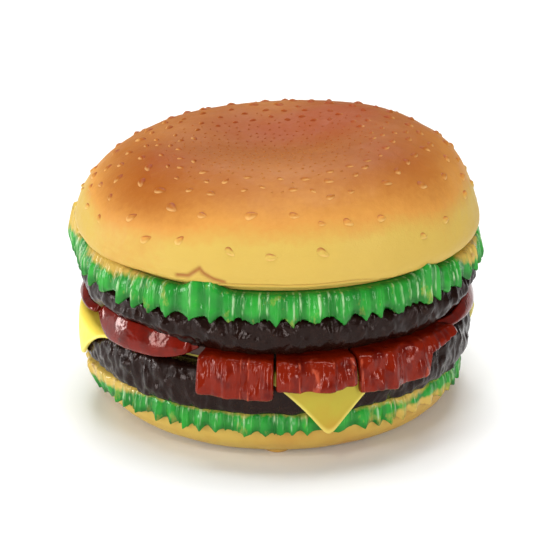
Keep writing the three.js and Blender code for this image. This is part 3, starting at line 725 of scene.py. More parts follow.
class BURGER_OT_top_bun(bpy.types.Operator):
    """Build the top bun's toasted skin and its moulded sesame seeds"""
    bl_idname = "burger.top_bun"
    bl_label = "Top Bun"

    def execute(self, context):
        lip = bun_outline(56, [(0.934, 0.0), (0.943, 0.03), (0.975, 0.058), (0.993, 0.1),
                               (1.0, 0.18), (0.988, 0.298)])
        outer = bun_outline(118, [(0.988, 0.298), (0.96, 0.457), (0.918, 0.622), (0.853, 0.773),
                                  (0.757, 0.898), (0.638, 0.977), (0.507, 1.0), (0.342, 0.96),
                                  (0.171, 0.878), (0.0, 0.838)])
        inner = smooth_line([(0, 94.6), (26, 98.4), (47.6, 98.6), (62.5, 91.8), (70.4, 81),
                             (72.2, 75), (69.4, 71), (68.4, 67.8)], 22)
        outline = np.vstack([inner, lip, outer[1:]])
        ring = Ring(outline, 720, closed=False)
        slope = direction(outline)
        skin = np.zeros(len(outline))
        skin[len(inner) + 4:] = 1
        crease = crease_line(ring.azimuth, ring.z) * skin
        front = 1 - smooth_step(44, 56, apart(ring.azimuth, -15))
        shaded_seam = np.exp(-((ring.z - seam_height(ring.azimuth)) / 0.32) ** 2) * skin * front
        shaded_seam = shaded_seam * (ring.r > 66)
        above = skin * front * (ring.r > 66) * smooth_step(0, 0.8, ring.z - seam_height(
            ring.azimuth)) * (1 - smooth_step(1.5, 9, ring.z - seam_height(ring.azimuth)))
        points = ring.points()
        push = skin * skin_swell(points) + 0.45 * above - 0.75 * shaded_seam - 0.6 * crease
        ring.r = np.where(ring.r > 0.01, ring.r + push * slope[None, :, 1], 0)
        ring.z = ring.z - push * slope[None, :, 0]
        # The seam groove gets extra toast and the shade mark, and the crease gets the shade mark:
        # painted shade in these grooves, over the crease's own reddish-brown paint.
        ring.mark("toast", toast_level(points) * skin + 0.12 * shaded_seam)
        ring.mark("shade", np.clip(0.5 * shaded_seam + 1.0 * crease, 0, 1))
        bun = ring.make("top_bun_skin", bun_finish())
        flat = np.zeros(len(bun.data.vertices) * 3)
        bun.data.vertices.foreach_get("co", flat)
        bun.data.vertices.foreach_set("co", (lean_up(flat.reshape(-1, 3) / MM) * MM).ravel())
        bun.data.update()
        finish_piece(bun, "lid", "bun", "top_bun")
        self.seeds(context, outer)
        return {"FINISHED"}

    def seeds(self, context, outer):
        """Teardrop seeds that stand out of the skin, and grains in the hollow."""
        biggest = context.scene.burger_bun.seed_length / MM
        chance = random.Random(11)
        slope = direction(outer)
        self.points, self.faces, self.toasts, self.shades = [], [], [], []
        placed = []
        for tries, inside, outside, room in SEED_SIZES:
            for _ in range(tries):
                radius = math.sqrt(chance.uniform(0, 1)) * SEED_REACH
                azimuth = chance.uniform(0, 360)
                index = int(np.argmin(np.abs(outer[:, 0] - radius)))
                r, z = outer[index]
                place = Vector((r * math.sin(math.radians(azimuth)),
                                -r * math.cos(math.radians(azimuth)), z))
                zone = math.hypot(place.x / HOLLOW_HALF_X,
                                  (place.y - HOLLOW_MIDDLE_Y) / HOLLOW_HALF_Y)
                if not inside <= zone <= outside:
                    continue
                sparse = 1 + 0.35 * (apart(azimuth, 0) < 60) * (radius > 62)
                wide = room * sparse * chance.uniform(0.9, 1.3)
                if any((place - other).length < max(wide, 0.7 * needed)
                       for other, needed in placed):
                    continue
                placed.append((place, wide))
                grown = smooth_step(2.7, 7.2, room)
                half = (0.3 + 0.7 * grown) * biggest / 2 * chance.uniform(0.75, 1.1)
                self.seed(chance, place, slope[index], azimuth, half,
                          0.30 + 0.6 * grown * chance.uniform(0.7, 1.1))
        level = toast_level(np.array(self.points)) + np.array(self.toasts)
        seeds = mesh_object("sesame_seeds", lean_up(np.array(self.points)), self.faces,
                            bun_finish(), {"toast": level, "shade": self.shades}, weld=False)
        finish_piece(seeds, "lid", "bun")

    def seed(self, chance, place, run, azimuth, half, height):
        """One dome, pointed at one end, with painted shade where it faces the top's middle and
        painted light where it faces outwards.
        """
        out = Vector((math.sin(math.radians(azimuth)), -math.cos(math.radians(azimuth)), 0))
        side = Vector((-out.y, out.x, 0))
        upward = out * run[0] + Vector((0, 0, run[1]))
        normal = out * run[1] + Vector((0, 0, -run[0]))
        turn = math.pi / 2 + chance.gauss(0.0, 0.55)
        long_way = upward * math.cos(turn) + side * math.sin(turn)
        wide_way = normal.cross(long_way)
        place = place + normal * float(skin_swell(np.array(place)))
        width = half * chance.uniform(0.52, 0.66)
        around, rings = (18, 6) if half > 1 else (10, 3)
        sunk = 0.25 if half > 1 else 0.12
        base = len(self.points)
        for ring in range(rings):
            share = 1 - ring / rings
            rise = height * (1 - share ** 2) - sunk * share
            for step in range(around):
                angle = 2 * math.pi * step / around
                taper = 1 - 0.4 * math.cos(angle)
                offset = (long_way * (half * math.cos(angle))
                          + wide_way * (width * math.sin(angle) * taper))
                self.points.append(place + offset * share + normal * rise)
                # Painted shade on the side facing the top's middle and painted light on the side
                # facing out; small seeds and grains get a little painted shade all over. The toast
                # added on the inward side is painted shade as well, the toast on the top is the
                # seed's own airbrushed paint.
                facing = offset.normalized().dot(upward)
                rim = math.exp(-((share - 0.78) / 0.3) ** 2)
                contrast, grain_shade = (1.15, 0.0) if half > 1 else (0.5, 0.15)
                self.shades.append(max(-1.0, min(1.0, contrast * facing * rim + grain_shade)))
                self.toasts.append(0.10 * facing * rim + 0.13 * (1 - share))
        self.points.append(place + normal * height)
        self.shades.append(0.0)
        self.toasts.append(0.13)
        for ring in range(rings - 1):
            low = base + ring * around
            self.faces += [(low + step, low + (step + 1) % around,
                            low + around + (step + 1) % around, low + around + step)
                           for step in range(around)]
        last, peak = base + (rings - 1) * around, base + rings * around
        self.faces += [(last + step, last + (step + 1) % around, peak) for step in range(around)]
        self.faces.append(tuple(base + step for step in reversed(range(around))))


# ---- Lettuce -----------------------------------------------------------------------------

def lobes(azimuth, count, seed):
    """0 in the valleys between a leaf's lobes and 1 on them, unevenly spaced."""
    angle = np.radians(azimuth)
    drift = [noise.noise(Vector((math.cos(a) * 4 + seed, math.sin(a) * 4, 0.3)))
             for a in angle.ravel()]
    phase = angle * count / 2 + 2.8 * np.array(drift).reshape(angle.shape)
    return 0.55 * (1 - np.abs(np.sin(phase))) ** 1.2 + 0.45 * np.cos(phase) ** 2


def pleats(azimuth, count, seed):
    """Sharp upright folds, from 0 between them to 1 on their crests, and uneven in height."""
    angle = np.radians(azimuth).ravel()
    wander = np.array([noise.noise(Vector((math.cos(a) * 9 + seed, math.sin(a) * 9, 2.3)))
                       for a in angle])
    height = np.array([noise.noise(Vector((math.cos(a) * 16, math.sin(a) * 16, seed + 5.3)))
                       for a in angle])
    crest = (1 - np.abs(np.sin(angle * count / 2 + 2.4 * wander))) ** 2.2
    return (crest * np.clip(0.45 + 1.8 * height, 0, 1)).reshape(azimuth.shape)


def bulge(azimuth, centre, reach):
    """1 at an azimuth and 0 beyond reach degrees from it."""
    return 1 - smooth_step(0, reach, apart(azimuth, centre))


def leaf_ring(name, outline, count, seed, tip_z, top_z, hang, rises, drop, fade_height):
    """A leaf's frilled edge: lobes that bulge and hang, with fine folds between them.

    rises lists the places where the leaf climbs the bun: their azimuth, width and height,
    and how far out they stand below and at the top.
    """
    ring = Ring(smooth_line(outline, 40, closed=True), 1800)
    azimuth = ring.azimuth
    lobe = lobes(azimuth, count, seed)
    angle = np.radians(azimuth)
    size = 0.7 + 0.3 * np.sin(9 * angle + seed * 2.3) * np.sin(14 * angle + 0.7 * seed)
    outer = smooth_step(ring.r.max() - 6.5, ring.r.max() - 2.0, ring.r)
    low = 1 - smooth_step(tip_z, top_z, ring.z)
    fold = pleats(azimuth, 2.7 * count, seed)
    ring.r = ring.r + outer * (0.35 + 0.65 * low) * (2.1 * (lobe - 0.4) * size)
    ring.r = ring.r + outer * 0.95 * (fold - 0.15)
    ring.z = ring.z - outer * low ** 1.3 * hang * 1.1 * (lobe - 0.4) * size
    ring.z = ring.z - outer * low ** 2 * 0.4 * (fold - 0.2)
    ring.z = ring.z + outer * low * 1.0 * fractal(ring.points(), 22, 3, seed)
    left = bulge(azimuth, 278, 36)
    ring.z = ring.z - outer * drop * left * (0.35 + 0.65 * low)
    ring.r = ring.r + outer * drop * left * (0.75 * (1 - low) - 0.35 * low)
    ring.r = ring.r + outer * 0.4 * fractal(ring.points(), 5, 3, seed + 3)
    if not drop:
        ring.r = ring.r - outer * low * 2.4 * bulge(azimuth, 268, 40)
    high = smooth_step(top_z - 4.5, top_z - 0.5, ring.z) * smooth_step(
        ring.r.max() - 9, ring.r.max() - 5, ring.r)
    for centre, reach, rise, push, push_top in rises:
        there = bulge(azimuth, centre, reach) * (0.85 + 0.15 * lobe)
        ring.z = ring.z + there * rise * high
        ring.r = ring.r + there * outer * (0.8 * push * (1 - high) + push_top * high)
    # The streak mark on the fold crests carries pale ribs and painted highlight.
    ring.mark("pale_and_highlight_streak", smooth_step(0.12, 0.5, fold) * outer * smooth_step(0.08, 0.35, 1 - low))
    # The tip and valley marks carry painted shade for the lower edge and for the valleys between
    # the lobes.
    ring.mark("tip", outer * smooth_step(0.62, 1.0, low))
    ring.mark("shaded_valley", outer * (1 - smooth_step(0.03, 0.4, lobe)))
    bare = smooth_step(-2.0, 2.0, ring.z - fade_height(azimuth)) * outer
    if drop:
        below = smooth_step(-1.2, 1.2, top_z - 4.6 - ring.z)
        bare = np.maximum(bare, below * bulge(azimuth, 50, 26) * outer)
    ring.mark("fade", np.clip(bare, 0, 1))
    return ring.make(name, leaf_finish())


class BURGER_OT_lettuce(bpy.types.Operator):
    """Build the frilled lettuce under each bun"""
    bl_idname = "burger.lettuce"
    bl_label = "Lettuce"

    def execute(self, context):
        hang = context.scene.burger_filling.leaf_lobe / MM
        top, wide = LID_LETTUCE[1].z, LID_LETTUCE[1].x
        upper = leaf_ring(
            "upper_lettuce_leaf",
            [(66, top - 6.6), (72.4, top - 6.9), (wide - 2.6, top - 8.4), (wide - 1.4, top - 9.6),
             (wide - 0.6, top - 8.2), (wide - 0.8, top - 5.0), (wide - 1.6, top - 1.8),
             (wide - 2.6, top - 0.2), (71, top + 0.1), (66, top - 0.8)],
            60, 1.0, top - 9.6, top, hang,
            [(340.5, 9, 5.0, 1.6, 1.6), (44.5, 7.5, 4.6, 1.5, 1.5), (300, 42, 2.0, 0.8, -1.2),
             (264, 17, 7.2, 4.8, 1.6)], 0.0,
            lambda azimuth: top + 9 - 10.8 * bulge(azimuth, 306, 34) ** 0.5
            - 13.5 * bulge(azimuth, 262, 24) ** 0.5 - 15 * bulge(azimuth, 70, 18) ** 0.5)
        finish_piece(upper, "lid", "lettuce", "upper_lettuce")
        high, broad = BASE_LETTUCE[1].z, BASE_LETTUCE[1].x
        lower = leaf_ring(
            "lower_lettuce_leaf",
            [(66, high - 5.0), (69.3, high - 5.2), (69.3, high - 7.4), (broad - 1.0, high - 8.0),
             (broad - 0.5, high - 6.4), (broad - 0.6, high - 3.2), (broad - 1.8, high - 0.5),
             (66, high - 0.1)],
            62, 2.0, high - 8.0, high, hang * 0.6, [], 5.0,
            lambda azimuth: high - 0.6 - 6.6 * bulge(azimuth, 280, 36) ** 0.5
            - 2.5 * bulge(azimuth, 42, 14))
        finish_piece(lower, "base", "lettuce", "lower_lettuce")
        return {"FINISHED"}


# ---- Patties -----------------------------------------------------------------------------

def patty_ring(name, outline, seed, bumps, hollows=()):
    """A rough ring with lumps and winding wrinkles. The lid's has a blister at the front right.

    hollows lists the azimuth and width of places where its lower edge is drawn in.
    """
    ring = Ring(smooth_line(outline, 66, closed=True), 1300)
    outer = smooth_step(ring.r.max() - 6, ring.r.max() - 3, ring.r)
    base = ring.z.min()
    in_lid = base > LID_PATTY[0].z - 1
    points = ring.points()
    lumps = fractal(points, 9, 2, seed)
    blobs = fractal(points * [1, 1, 0.8], 4.2, 2, seed + 2)
    wrinkles = 1 - 3.2 * np.abs(fractal(points * [1, 1, 0.75], 6.5, 2, seed + 5))
    rough = smooth_step(-0.25, 0.35, fractal(points, 26, 1, seed + 8))
    relief = 0.6 * lumps + 0.55 * blobs + 0.30 * rough * np.maximum(wrinkles, -0.4)
    ring.r = ring.r + outer * bumps * (relief - 0.15)
    ring.z = ring.z + 0.5 * outer * bumps * fractal(points, 10, 2, seed + 9)
    from_blister = np.hypot(apart(ring.azimuth, 44.5) * 1.32, ring.z - base - 11.2)
    blister = 2.2 * np.sqrt(np.maximum(1 - (from_blister / 3.4) ** 2, 0))
    ring.r = ring.r + outer * blister * in_lid
    for azimuth, reach, depth in hollows:
        there = bulge(ring.azimuth, azimuth, reach) ** 0.6
        ring.r = ring.r - depth * there * outer * (1 - smooth_step(base + 2.5, base + 7.5, ring.z))
    ring.r = ring.r - 2.0 * bulge(ring.azimuth, 268, 32) * outer * in_lid
    return ring.make(name, patty_finish())


class BURGER_OT_patties(bpy.types.Operator):
    """Build the two rough patties with the notch for the hinge and the rear windows"""
    bl_idname = "burger.patties"
    bl_label = "Patties"

    def execute(self, context):
        bumps = context.scene.burger_filling.patty_bumps / MM
        low, high = LID_PATTY[0].z, LID_PATTY[1].z
        wide = LID_PATTY[1].x
        upper = patty_ring(
            "upper_patty_meat",
            [(RING_INNER, low), (71.6, low), (wide - 1, low + 2.8), (wide, low + 6.8),
             (wide - 0.4, low + 10.4), (wide - 2.6, high), (67, high), (67, high - 2.2),
             (71.8, high - 2.4), (73.4, low + 6.7), (72, low + 2.8), (RING_INNER, low + 2.5)],
            3.0, bumps, [(312, 34, 3.2), (268, 22, 2.6), (76, 26, 3.4)])
        room = PIN[1].x + 2.5
        cut(upper, [block("notch", (-room, 60, low - 5), (room, 82, PIN[1].z + 2.9),
                          patty_finish())])
        finish_piece(upper, "lid", "patty", "upper_patty")
        low, high = BASE_PATTY[0].z, BASE_PATTY[1].z
        wide = BASE_PATTY[1].x
        lower = patty_ring(
            "lower_patty_meat",
            [(64, low), (71, low), (wide - 0.6, low + 2.8), (wide, low + 7.7),
             (wide - 0.5, low + 12.6), (71, high), (64, high), (64, high - 2.2), (70, high - 2.2),
             (71.2, low + 7.7), (70, low + 2.2), (64, low + 2.2)],
            4.0, bumps)
        windows = [block("jack_window", (JACK[0].x - 0.4, 60, JACK[0].z - 0.4),
                         (JACK[1].x + 0.4, 82, JACK[1].z + 0.4), patty_finish())]
        for switch in ("ringer_switch", "tone_switch"):
            centre = middle_mm(switch)
            turn = math.degrees(math.atan2(centre.y, centre.x)) - 90
            level = middle_mm(switch + "_knob").z
            windows.append(block("switch_window", (-4.5, 65, level - 2.2), (4.5, 80, level + 2.2),
                                 patty_finish(), turn))
        cut(lower, windows)
        finish_piece(lower, "base", "patty", "lower_patty")
        return {"FINISHED"}


# ---- Cheese, tomato, bacon, bottom bun ---------------------------------------------------

CHEESE_TURN = 14.0
CHEESE_BEND = 72.4


def cheese_reach(azimuth):
    """How far the square slice reaches from the middle, its corners a little rounded."""
    half = 65.5
    turn = np.radians(azimuth - CHEESE_TURN - 45)
    sharp = 34.0
    square = half / (np.abs(np.cos(turn)) ** sharp + np.abs(np.sin(turn)) ** sharp) ** (1 / sharp)
    short = 0.42 * (apart(azimuth, CHEESE_TURN - 90) < 45)
    tuck = 2.6 * bulge(azimuth, -28, 18) ** 0.4
    return square + (0.30 - short) * np.maximum(square - CHEESE_BEND, 0) - tuck


class BURGER_OT_cheese(bpy.types.Operator):
    """Build the cheese slice that drapes its corners over the lower patty"""
    bl_idname = "burger.cheese"
    bl_label = "Cheese"

    def execute(self, context):
        thick, under = 1.7, CHEESE[1].z - 1.7
        azimuth = np.linspace(0, 360, 720, endpoint=False)[:, None]
        reach = cheese_reach(azimuth)
        stations = np.concatenate([np.linspace(0, 1, 56), np.ones(5), np.linspace(1, 0, 56),
                                   np.zeros(1)])
        lift = np.concatenate([np.ones(56), 0.5 + 0.5 * np.cos(np.linspace(0, math.pi, 7)[1:-1]),
                               np.zeros(56), 0.5 * np.ones(1)])
        belly = np.concatenate([np.zeros(56), np.sin(np.linspace(0, math.pi, 7)[1:-1]),
                                np.zeros(56), np.zeros(1)])
        along = 62.8 + (reach - 62.8) * stations[None, :] + 0.55 * belly[None, :]
        raised = thick * lift[None, :]
        past = np.maximum(along - CHEESE_BEND, 0)
        middle = 1.6 + thick / 2
        angle = np.minimum(past / middle, math.pi / 2)
        hang = np.maximum(past - middle * math.pi / 2, 0)
        ring = Ring(np.zeros((len(stations), 2)), 720)
        bow = 0.5 * np.sin(np.minimum(hang / 18, 1) * math.pi)
        ring.r = np.minimum(along, CHEESE_BEND) + (1.6 + raised) * np.sin(angle) + bow
        ring.z = under - 1.6 + (1.6 + raised) * np.cos(angle) - hang
        # The edge mark places a painted highlight along the rounded rim.
        ring.mark("edge", smooth_step(0.93, 1.0, stations)[None, :] * np.ones_like(ring.r))
        # The mark for painted shade under the front left tomato.
        ring.mark("tomato_shade", smooth_step(0, 5, azimuth - 306) * (azimuth < 316)
                  * smooth_step(72, 73.5, ring.r))
        # The corner mark paints light onto the left hanging corner.
        ring.mark("corner", bulge(azimuth, 290, 34) ** 0.5 * smooth_step(66, 70, ring.r))
        cheese = ring.make("cheese_drape", cheese_finish())
        finish_piece(cheese, "base", "cheese", "cheese_slice")
        return {"FINISHED"}


class BURGER_OT_tomatoes(bpy.types.Operator):
    """Build the three glossy tomato slices that show between the cheese and the parting line"""
    bl_idname = "burger.tomatoes"
    bl_label = "Tomatoes"

    def execute(self, context):
        for node in ("tomato_slice_front_left", "tomato_slice_left", "tomato_slice_right"):
            self.slice(node)
        return {"FINISHED"}

    @staticmethod
    def slice(node):
        low, high = box_mm(node)
        centre_azimuth = {"tomato_slice_front_left": -47.5, "tomato_slice_left": -93.0,
                          "tomato_slice_right": 76.0}[node]
        offset, radius = 45.0, 30.0
        span = math.degrees(math.acos((RING_INNER ** 2 + offset ** 2 - radius ** 2)
                                      / (2 * RING_INNER * offset)))
        bulb_low, bulb_high = {"tomato_slice_front_left": (-1.2, 4.6),
                               "tomato_slice_left": (0.6, 3.4),
                               "tomato_slice_right": (0.6, 5.2)}[node]
        height = high.z - low.z
        flat, bottom, top = 5.6, bulb_low, height + bulb_high
        shape = smooth_line([
            (0, 0), (flat - 1.6, 0), (flat - 0.4, bottom * 0.5), (flat + 0.8, bottom + 0.1),
            (flat + 2.2, bottom), (flat + 3.1, bottom + 0.9),
            (flat + 3.2, bottom + 0.32 * (top - bottom)),
            (flat + 2.5, bottom + 0.6 * (top - bottom)),
            (flat + 1.1, top - 0.4), (flat + 0.4, top), (flat - 0.3, top - 1.3),
            (flat - 0.7, height + 0.3), (flat - 1.6, height), (0, height),
        ], 72, closed=True)
        start = max(centre_azimuth - span + 1.5, -60.5) if "front" in node else (
            centre_azimuth - span + 1.5)
        ring = Ring(shape, 200, start, centre_azimuth + span + 2.0 * ("front" in node))
        turn = np.radians(ring.azimuth - centre_azimuth)
        reach = offset * np.cos(turn) + np.sqrt(radius ** 2 - (offset * np.sin(turn)) ** 2)
        front = ring.u if centre_azimuth < 0 else 1 - ring.u
        thin, pivot = np.maximum(1 - front ** 2.5, 0.38), height / 2
        if node.endswith("front_left"):
            thin, pivot = 1 - 0.55 * front ** 5, top
        ends = thin * np.clip(1 - (1 - front) ** 24, 0.05, 1) ** 0.5
        shorter = (reach - RING_INNER) / (75 - RING_INNER)
        ring.r = RING_INNER + ring.r * (0.45 + 0.55 * np.clip(shorter, 0, 1) ** 0.4)
        ring.z = low.z + pivot + (ring.z - pivot) * ends
        wave = fractal(ring.points(), 14, 2, centre_azimuth)
        ring.r = ring.r + 0.5 * wave * (ring.r > RING_INNER + 3)
        made = ring.make(node + "_flesh", tomato_finish())
        close_ends(made)
        finish_piece(made, "base", "tomato", node)


class BURGER_OT_bacon(bpy.types.Operator):
    """Build the three ribbed rashers that hang over the front of the lower patty"""
    bl_idname = "burger.bacon"
    bl_label = "Bacon"

    def execute(self, context):
        for index, (start, end) in enumerate(((-21.6, -1.0), (-0.3, 20.8), (21.9, 57.0))):
            self.rasher(f"bacon_strip_{index + 1}", start, end, index)
        return {"FINISHED"}

    @staticmethod
    def rasher(node, start, end, seed):
        low, high = box_mm(node)
        top, reach = high.z, high.z - low.z
        outline = smooth_line([
            (0.0, -4.7), (5.4, -4.7), (7.0, -5.4), (7.8, -7.2), (8.1, -0.80 * reach),
            (8.9, -0.96 * reach), (10.3, -reach), (11.6, -0.97 * reach), (12.2, -0.88 * reach),
            (11.8, -0.64 * reach), (11.0, -0.38 * reach), (10.1, -2.4), (9.2, -0.9), (7.6, -0.2),
            (4.0, 0.0), (0.0, 0.0),
        ], 90, closed=True)
        ring = Ring(outline, 240, start, end)
        azimuth = ring.azimuth
        over_cheese = 1 - smooth_step(17, 22, apart(azimuth, CHEESE_TURN))
        shift = smooth_step(3.0, 7.4, ring.r) * 1.4 * over_cheese
        outer = smooth_step(6.0, 9.4, ring.r)
        if node.endswith("3"):
            cut_short = smooth_step(43, 45.5, azimuth) * (0.6 + 0.2 * smooth_step(47, 57, azimuth))
            ring.z = ring.z * (1 - cut_short)
        ends = np.maximum(1 - np.abs(2 * ring.u - 1) ** 14, 0.0) ** 0.5
        rib = pleats(azimuth, 110, seed + 0.5)
        wide = fractal(np.concatenate([azimuth, azimuth * 0, azimuth * 0], 1)[:, None, :],
                       4.2, 2, seed + 3)
        ring.r = RING_INNER + 5 + (ring.r - 5) * (0.82 + 0.18 * ends) + shift
        grain = fractal(ring.points() * [1, 1, 0.32], 3.4, 2, seed + 20)
        lumps = fractal(ring.points() * [1, 1, 0.6], 6, 2, seed + 30)
        ring.r = ring.r + outer * ends * (0.5 * rib + 1.7 * wide + 0.5 * grain + 0.6 * lumps)
        ring.z = top - 5 + (ring.z + 5) * (0.9 + 0.1 * ends)
        ring.z = ring.z + smooth_step(-5, -9, ring.z - top) * 0.35 * np.sin(
            np.radians((azimuth - start) * 22))
        # The streak mark on the rib crests carries fat streaks and painted highlight.
        ring.mark("pale_and_highlight_streak", smooth_step(0.1, 0.6, rib) * outer)
        made = ring.make(node + "_rasher", bacon_finish())
        close_ends(made)
        finish_piece(made, "base", "bacon", node)


def close_ends(made):
    """The open ends of a part turn are filled."""
    work = bmesh.new()
    work.from_mesh(made.data)
    bmesh.ops.holes_fill(work, edges=[edge for edge in work.edges if edge.is_boundary], sides=0)
    bmesh.ops.recalc_face_normals(work, faces=work.faces)
    work.to_mesh(made.data)
    work.free()
    made.data.shade_smooth()


class BURGER_OT_bottom_bun(bpy.types.Operator):
    """Build the bottom bun with its screw wells, foot seats and sound holes"""
    bl_idname = "burger.bottom_bun"
    bl_label = "Bottom Bun"

    def execute(self, context):
        wide = BASE_BUN[1].x
        floor, top = BASE_BUN[0].z, BASE_BUN[1].z
        outer = smooth_line([(0, floor), (40, floor), (56.5, floor), (61.5, floor + 1.5),
                             (65.6, floor + 4.3), (wide - 0.8, floor + 7.7), (wide, floor + 11.2),
                             (wide, floor + 13.7)], 60)
        inner = [(65.4, floor + 13.8), (65.2, top), (62.7, top), (62.7, floor + 9),
                 (61.4, floor + 5.4), (58, floor + 2.9), (0, floor + 2.6)]
        ring = Ring(np.vstack([outer, inner]), 360, closed=False)
        skin = smooth_step(57, 62, ring.r) * (1 - smooth_step(floor + 12, floor + 13.6, ring.z))
        ring.r = ring.r + skin * (0.5 * fractal(ring.points(), 30, 2, 31)
                                  + 0.15 * fractal(ring.points(), 7, 2, 32))
        bun = ring.make("bottom_bun_skin", bottom_bun_finish())
        wells = []
        for index in range(4):
            middle = middle_mm(f"base_screw_{index + 1}")
            wells.append(lathe("well", [(0, -1), (3.6, -1), (3.4, 4.4), (0, 4.4)], 32,
                               bottom_bun_finish(), middle.x, middle.y))
            middle = middle_mm(f"foot_{index + 1}")
            wells.append(lathe("seat", [(0, -1), (5.4, -1), (5.3, 2.3), (0, 2.3)], 40,
                               bottom_bun_finish(), middle.x, middle.y))
        for index in range(6):
            angle = math.radians(60 * index)
            wells.append(rod("sound_hole", 1.2, -1, 6, 20, bottom_bun_finish(),
                             7 * math.sin(angle), -7 * math.cos(angle)))
        cut(bun, [joined("wells", wells)])
        sharpen(bun, 40)
        finish_piece(bun, "base", "bun", "bottom_bun")
        return {"FINISHED"}


def sharpen(made, angle):
    """Edges sharper than the angle stay crisp under smooth shading."""
    made.data.shade_smooth()
    made.data.set_sharp_from_angle(angle=math.radians(angle))


# ---- Trays, keys and fittings ------------------------------------------------------------

def hinge_knuckles(spans, arm_low, arm_high, material):
    """Rounded arms that end in knuckles round the pin."""
    axis_y, axis_z = (PIN[0].y + PIN[1].y) / 2, (PIN[0].z + PIN[1].z) / 2
    radius, bore = 3.5, 1.55
    parts = []
    for x0, x1 in spans:
        knuckle = lathe("knuckle", [(bore, x0), (radius - 0.3, x0), (radius, x0 + 0.3),
                                    (radius, x1 - 0.3), (radius - 0.3, x1), (bore, x1)], 48,
                        material, closed=True)
        spin = Matrix(((0, 0, 1), (1, 0, 0), (0, 1, 0)))
        for vertex in knuckle.data.vertices:
            vertex.co = spin @ vertex.co + Vector((0, axis_y, axis_z)) * MM
        parts.append(knuckle)
        parts.append(block("arm", (x0 + 0.05, 62.5, arm_low), (x1 - 0.05, axis_y - 1.7, arm_high),
                           material))
    return parts


def rod(name, radius, low, high, steps, material, x=0.0, y=0.0):
    """A plain upright cylinder between two heights."""
    return lathe(name, [(0, low), (radius, low), (radius, high), (0, high)], steps, material, x, y)


def tube(name, bore, radius, low, high, material, x, y):
    """A plain upright tube between two heights."""
    return lathe(name, [(bore, low), (radius, low), (radius, high), (bore, high)], 32, material,
                 x, y, closed=True)


def tray_dish(name, outline, cutters, knuckle_parts, material):
    dish = lathe(name, outline, 240, material)
    cut(dish, [joined("tray_cutters", cutters)])
    made = joined(name, [dish, *knuckle_parts])
    sharpen(made, 35)
    return made


class BURGER_OT_trays(bpy.types.Operator):
    """Build the two inner casings, with key windows, sound holes and hinge knuckles"""
    bl_idname = "burger.trays"
    bl_label = "Inner Casings"

    def execute(self, context):
        look = context.scene.burger_phone
        plastic = plastic_finish("tray_plastic", tuple(look.tray), 0.48)
        self.key_tray(plastic)
        self.ear_tray(plastic)
        return {"FINISHED"}

    @staticmethod
    def key_tray(plastic):
        deck, rim = 41.0, 43.8
        outline = [
            (0, 39), (59.8, 39), (59.8, 24.5), (62, 24.5), (62, 38.7), (65.6, 38.7),
            (TRAY_R, 39.1), (TRAY_R, 43.4), (65.6, rim), (62.0, rim), (61.3, rim - 0.3),
            (60.5, deck + 0.4), (60.0, deck), (0, deck),
        ]
        cutters = []
        for name in KEY_NAMES:
            low, high = box_mm(name)
            cutters.append(rounded_block("window", low.x + 0.6, high.x - 0.6, low.y + 0.6,
                                         high.y - 0.6, 38, 42, 1.4, plastic))
        middle = middle_mm("microphone")
        cutters += [rod("mic_hole", 0.8, 38, 42, 20, plastic, x, middle.y) for x in (-3, 0, 3)]
        plunger = middle_mm("hook_plunger")
        cutters.append(rod("plunger_hole", 2.9, 38, 42, 32, plastic, 0, plunger.y))
        opening = Ring([(57, 24), (64, 24), (64, 36.4), (57, 36.4)], 40, 127, 186).make(
            "rear_opening", plastic)
        close_ends(opening)
        cutters.append(opening)
        posts = []
        for index in range(4):
            middle = middle_mm(f"base_screw_{index + 1}")
            posts.append(tube("post", 1.8, 3.5, 9.3, 39.2, plastic, middle.x, middle.y))
        knuckles = hinge_knuckles(((-25, -15.3), (-4.7, 4.7), (15.3, 25)), 41.2, 43.7, plastic)
        tray = tray_dish("key_tray_casing", outline, cutters, knuckles + posts, plastic)
        finish_piece(tray, "base", "tray", "key_tray")
        bead = lathe("keypad_groove", [(54.6, deck), (54.9, deck + 0.35), (55.5, deck + 0.35),
                                       (55.8, deck)], 200, plastic, closed=True)
        finish_piece(bead, "base", "tray")

    @staticmethod
    def ear_tray(plastic):
        outline = [
            (0, 47.6), (59.2, 47.6), (59.8, 47.2), (60.7, 44.6), (61.4, 44.2), (65.6, 44.2),
            (TRAY_R, 44.6), (TRAY_R, 46.9), (62, 46.9), (62, 57), (59.8, 57), (59.8, 49.6),
            (0, 49.6),
        ]
        ear = middle_mm("earpiece_speaker")
        cutters = [rod("sound_hole", 1.3, 46, 51, 20, plastic, 0, ear.y)]
        for count, radius in ((6, 6.5), (12, 11.5)):
            for step in range(count):
                angle = 2 * math.pi * step / count
                size = 1.4 if count == 6 else 0.9
                cutters.append(rod("sound_hole", size, 46, 51, 20, plastic,
                                   radius * math.sin(angle), ear.y - radius * math.cos(angle)))
        seats = []
        for index in range(3):
            middle = middle_mm(f"lid_screw_{index + 1}")
            cutters.append(rod("screw_well", 3.4, 46, 49.8, 32, plastic, middle.x, middle.y))
            seats.append(tube("seat", 1.8, 5, 49.5, 52, plastic, middle.x, middle.y))
        knuckles = hinge_knuckles(((-15, -5), (5, 15)), 44.3, 46.8, plastic)
        tray = tray_dish("ear_tray_casing", outline, cutters, knuckles + seats, plastic)
        finish_piece(tray, "lid", "tray", "ear_tray")
        rings = [lathe("ring", [(radius - 0.5, 47.6), (radius - 0.25, 47.15),
                                (radius + 0.25, 47.15), (radius + 0.5, 47.6)], 120, plastic,
                       0, ear.y, closed=True) for radius in (16.5, 19.0)]
        finish_piece(joined("earpiece_rings", rings), "lid", "tray")


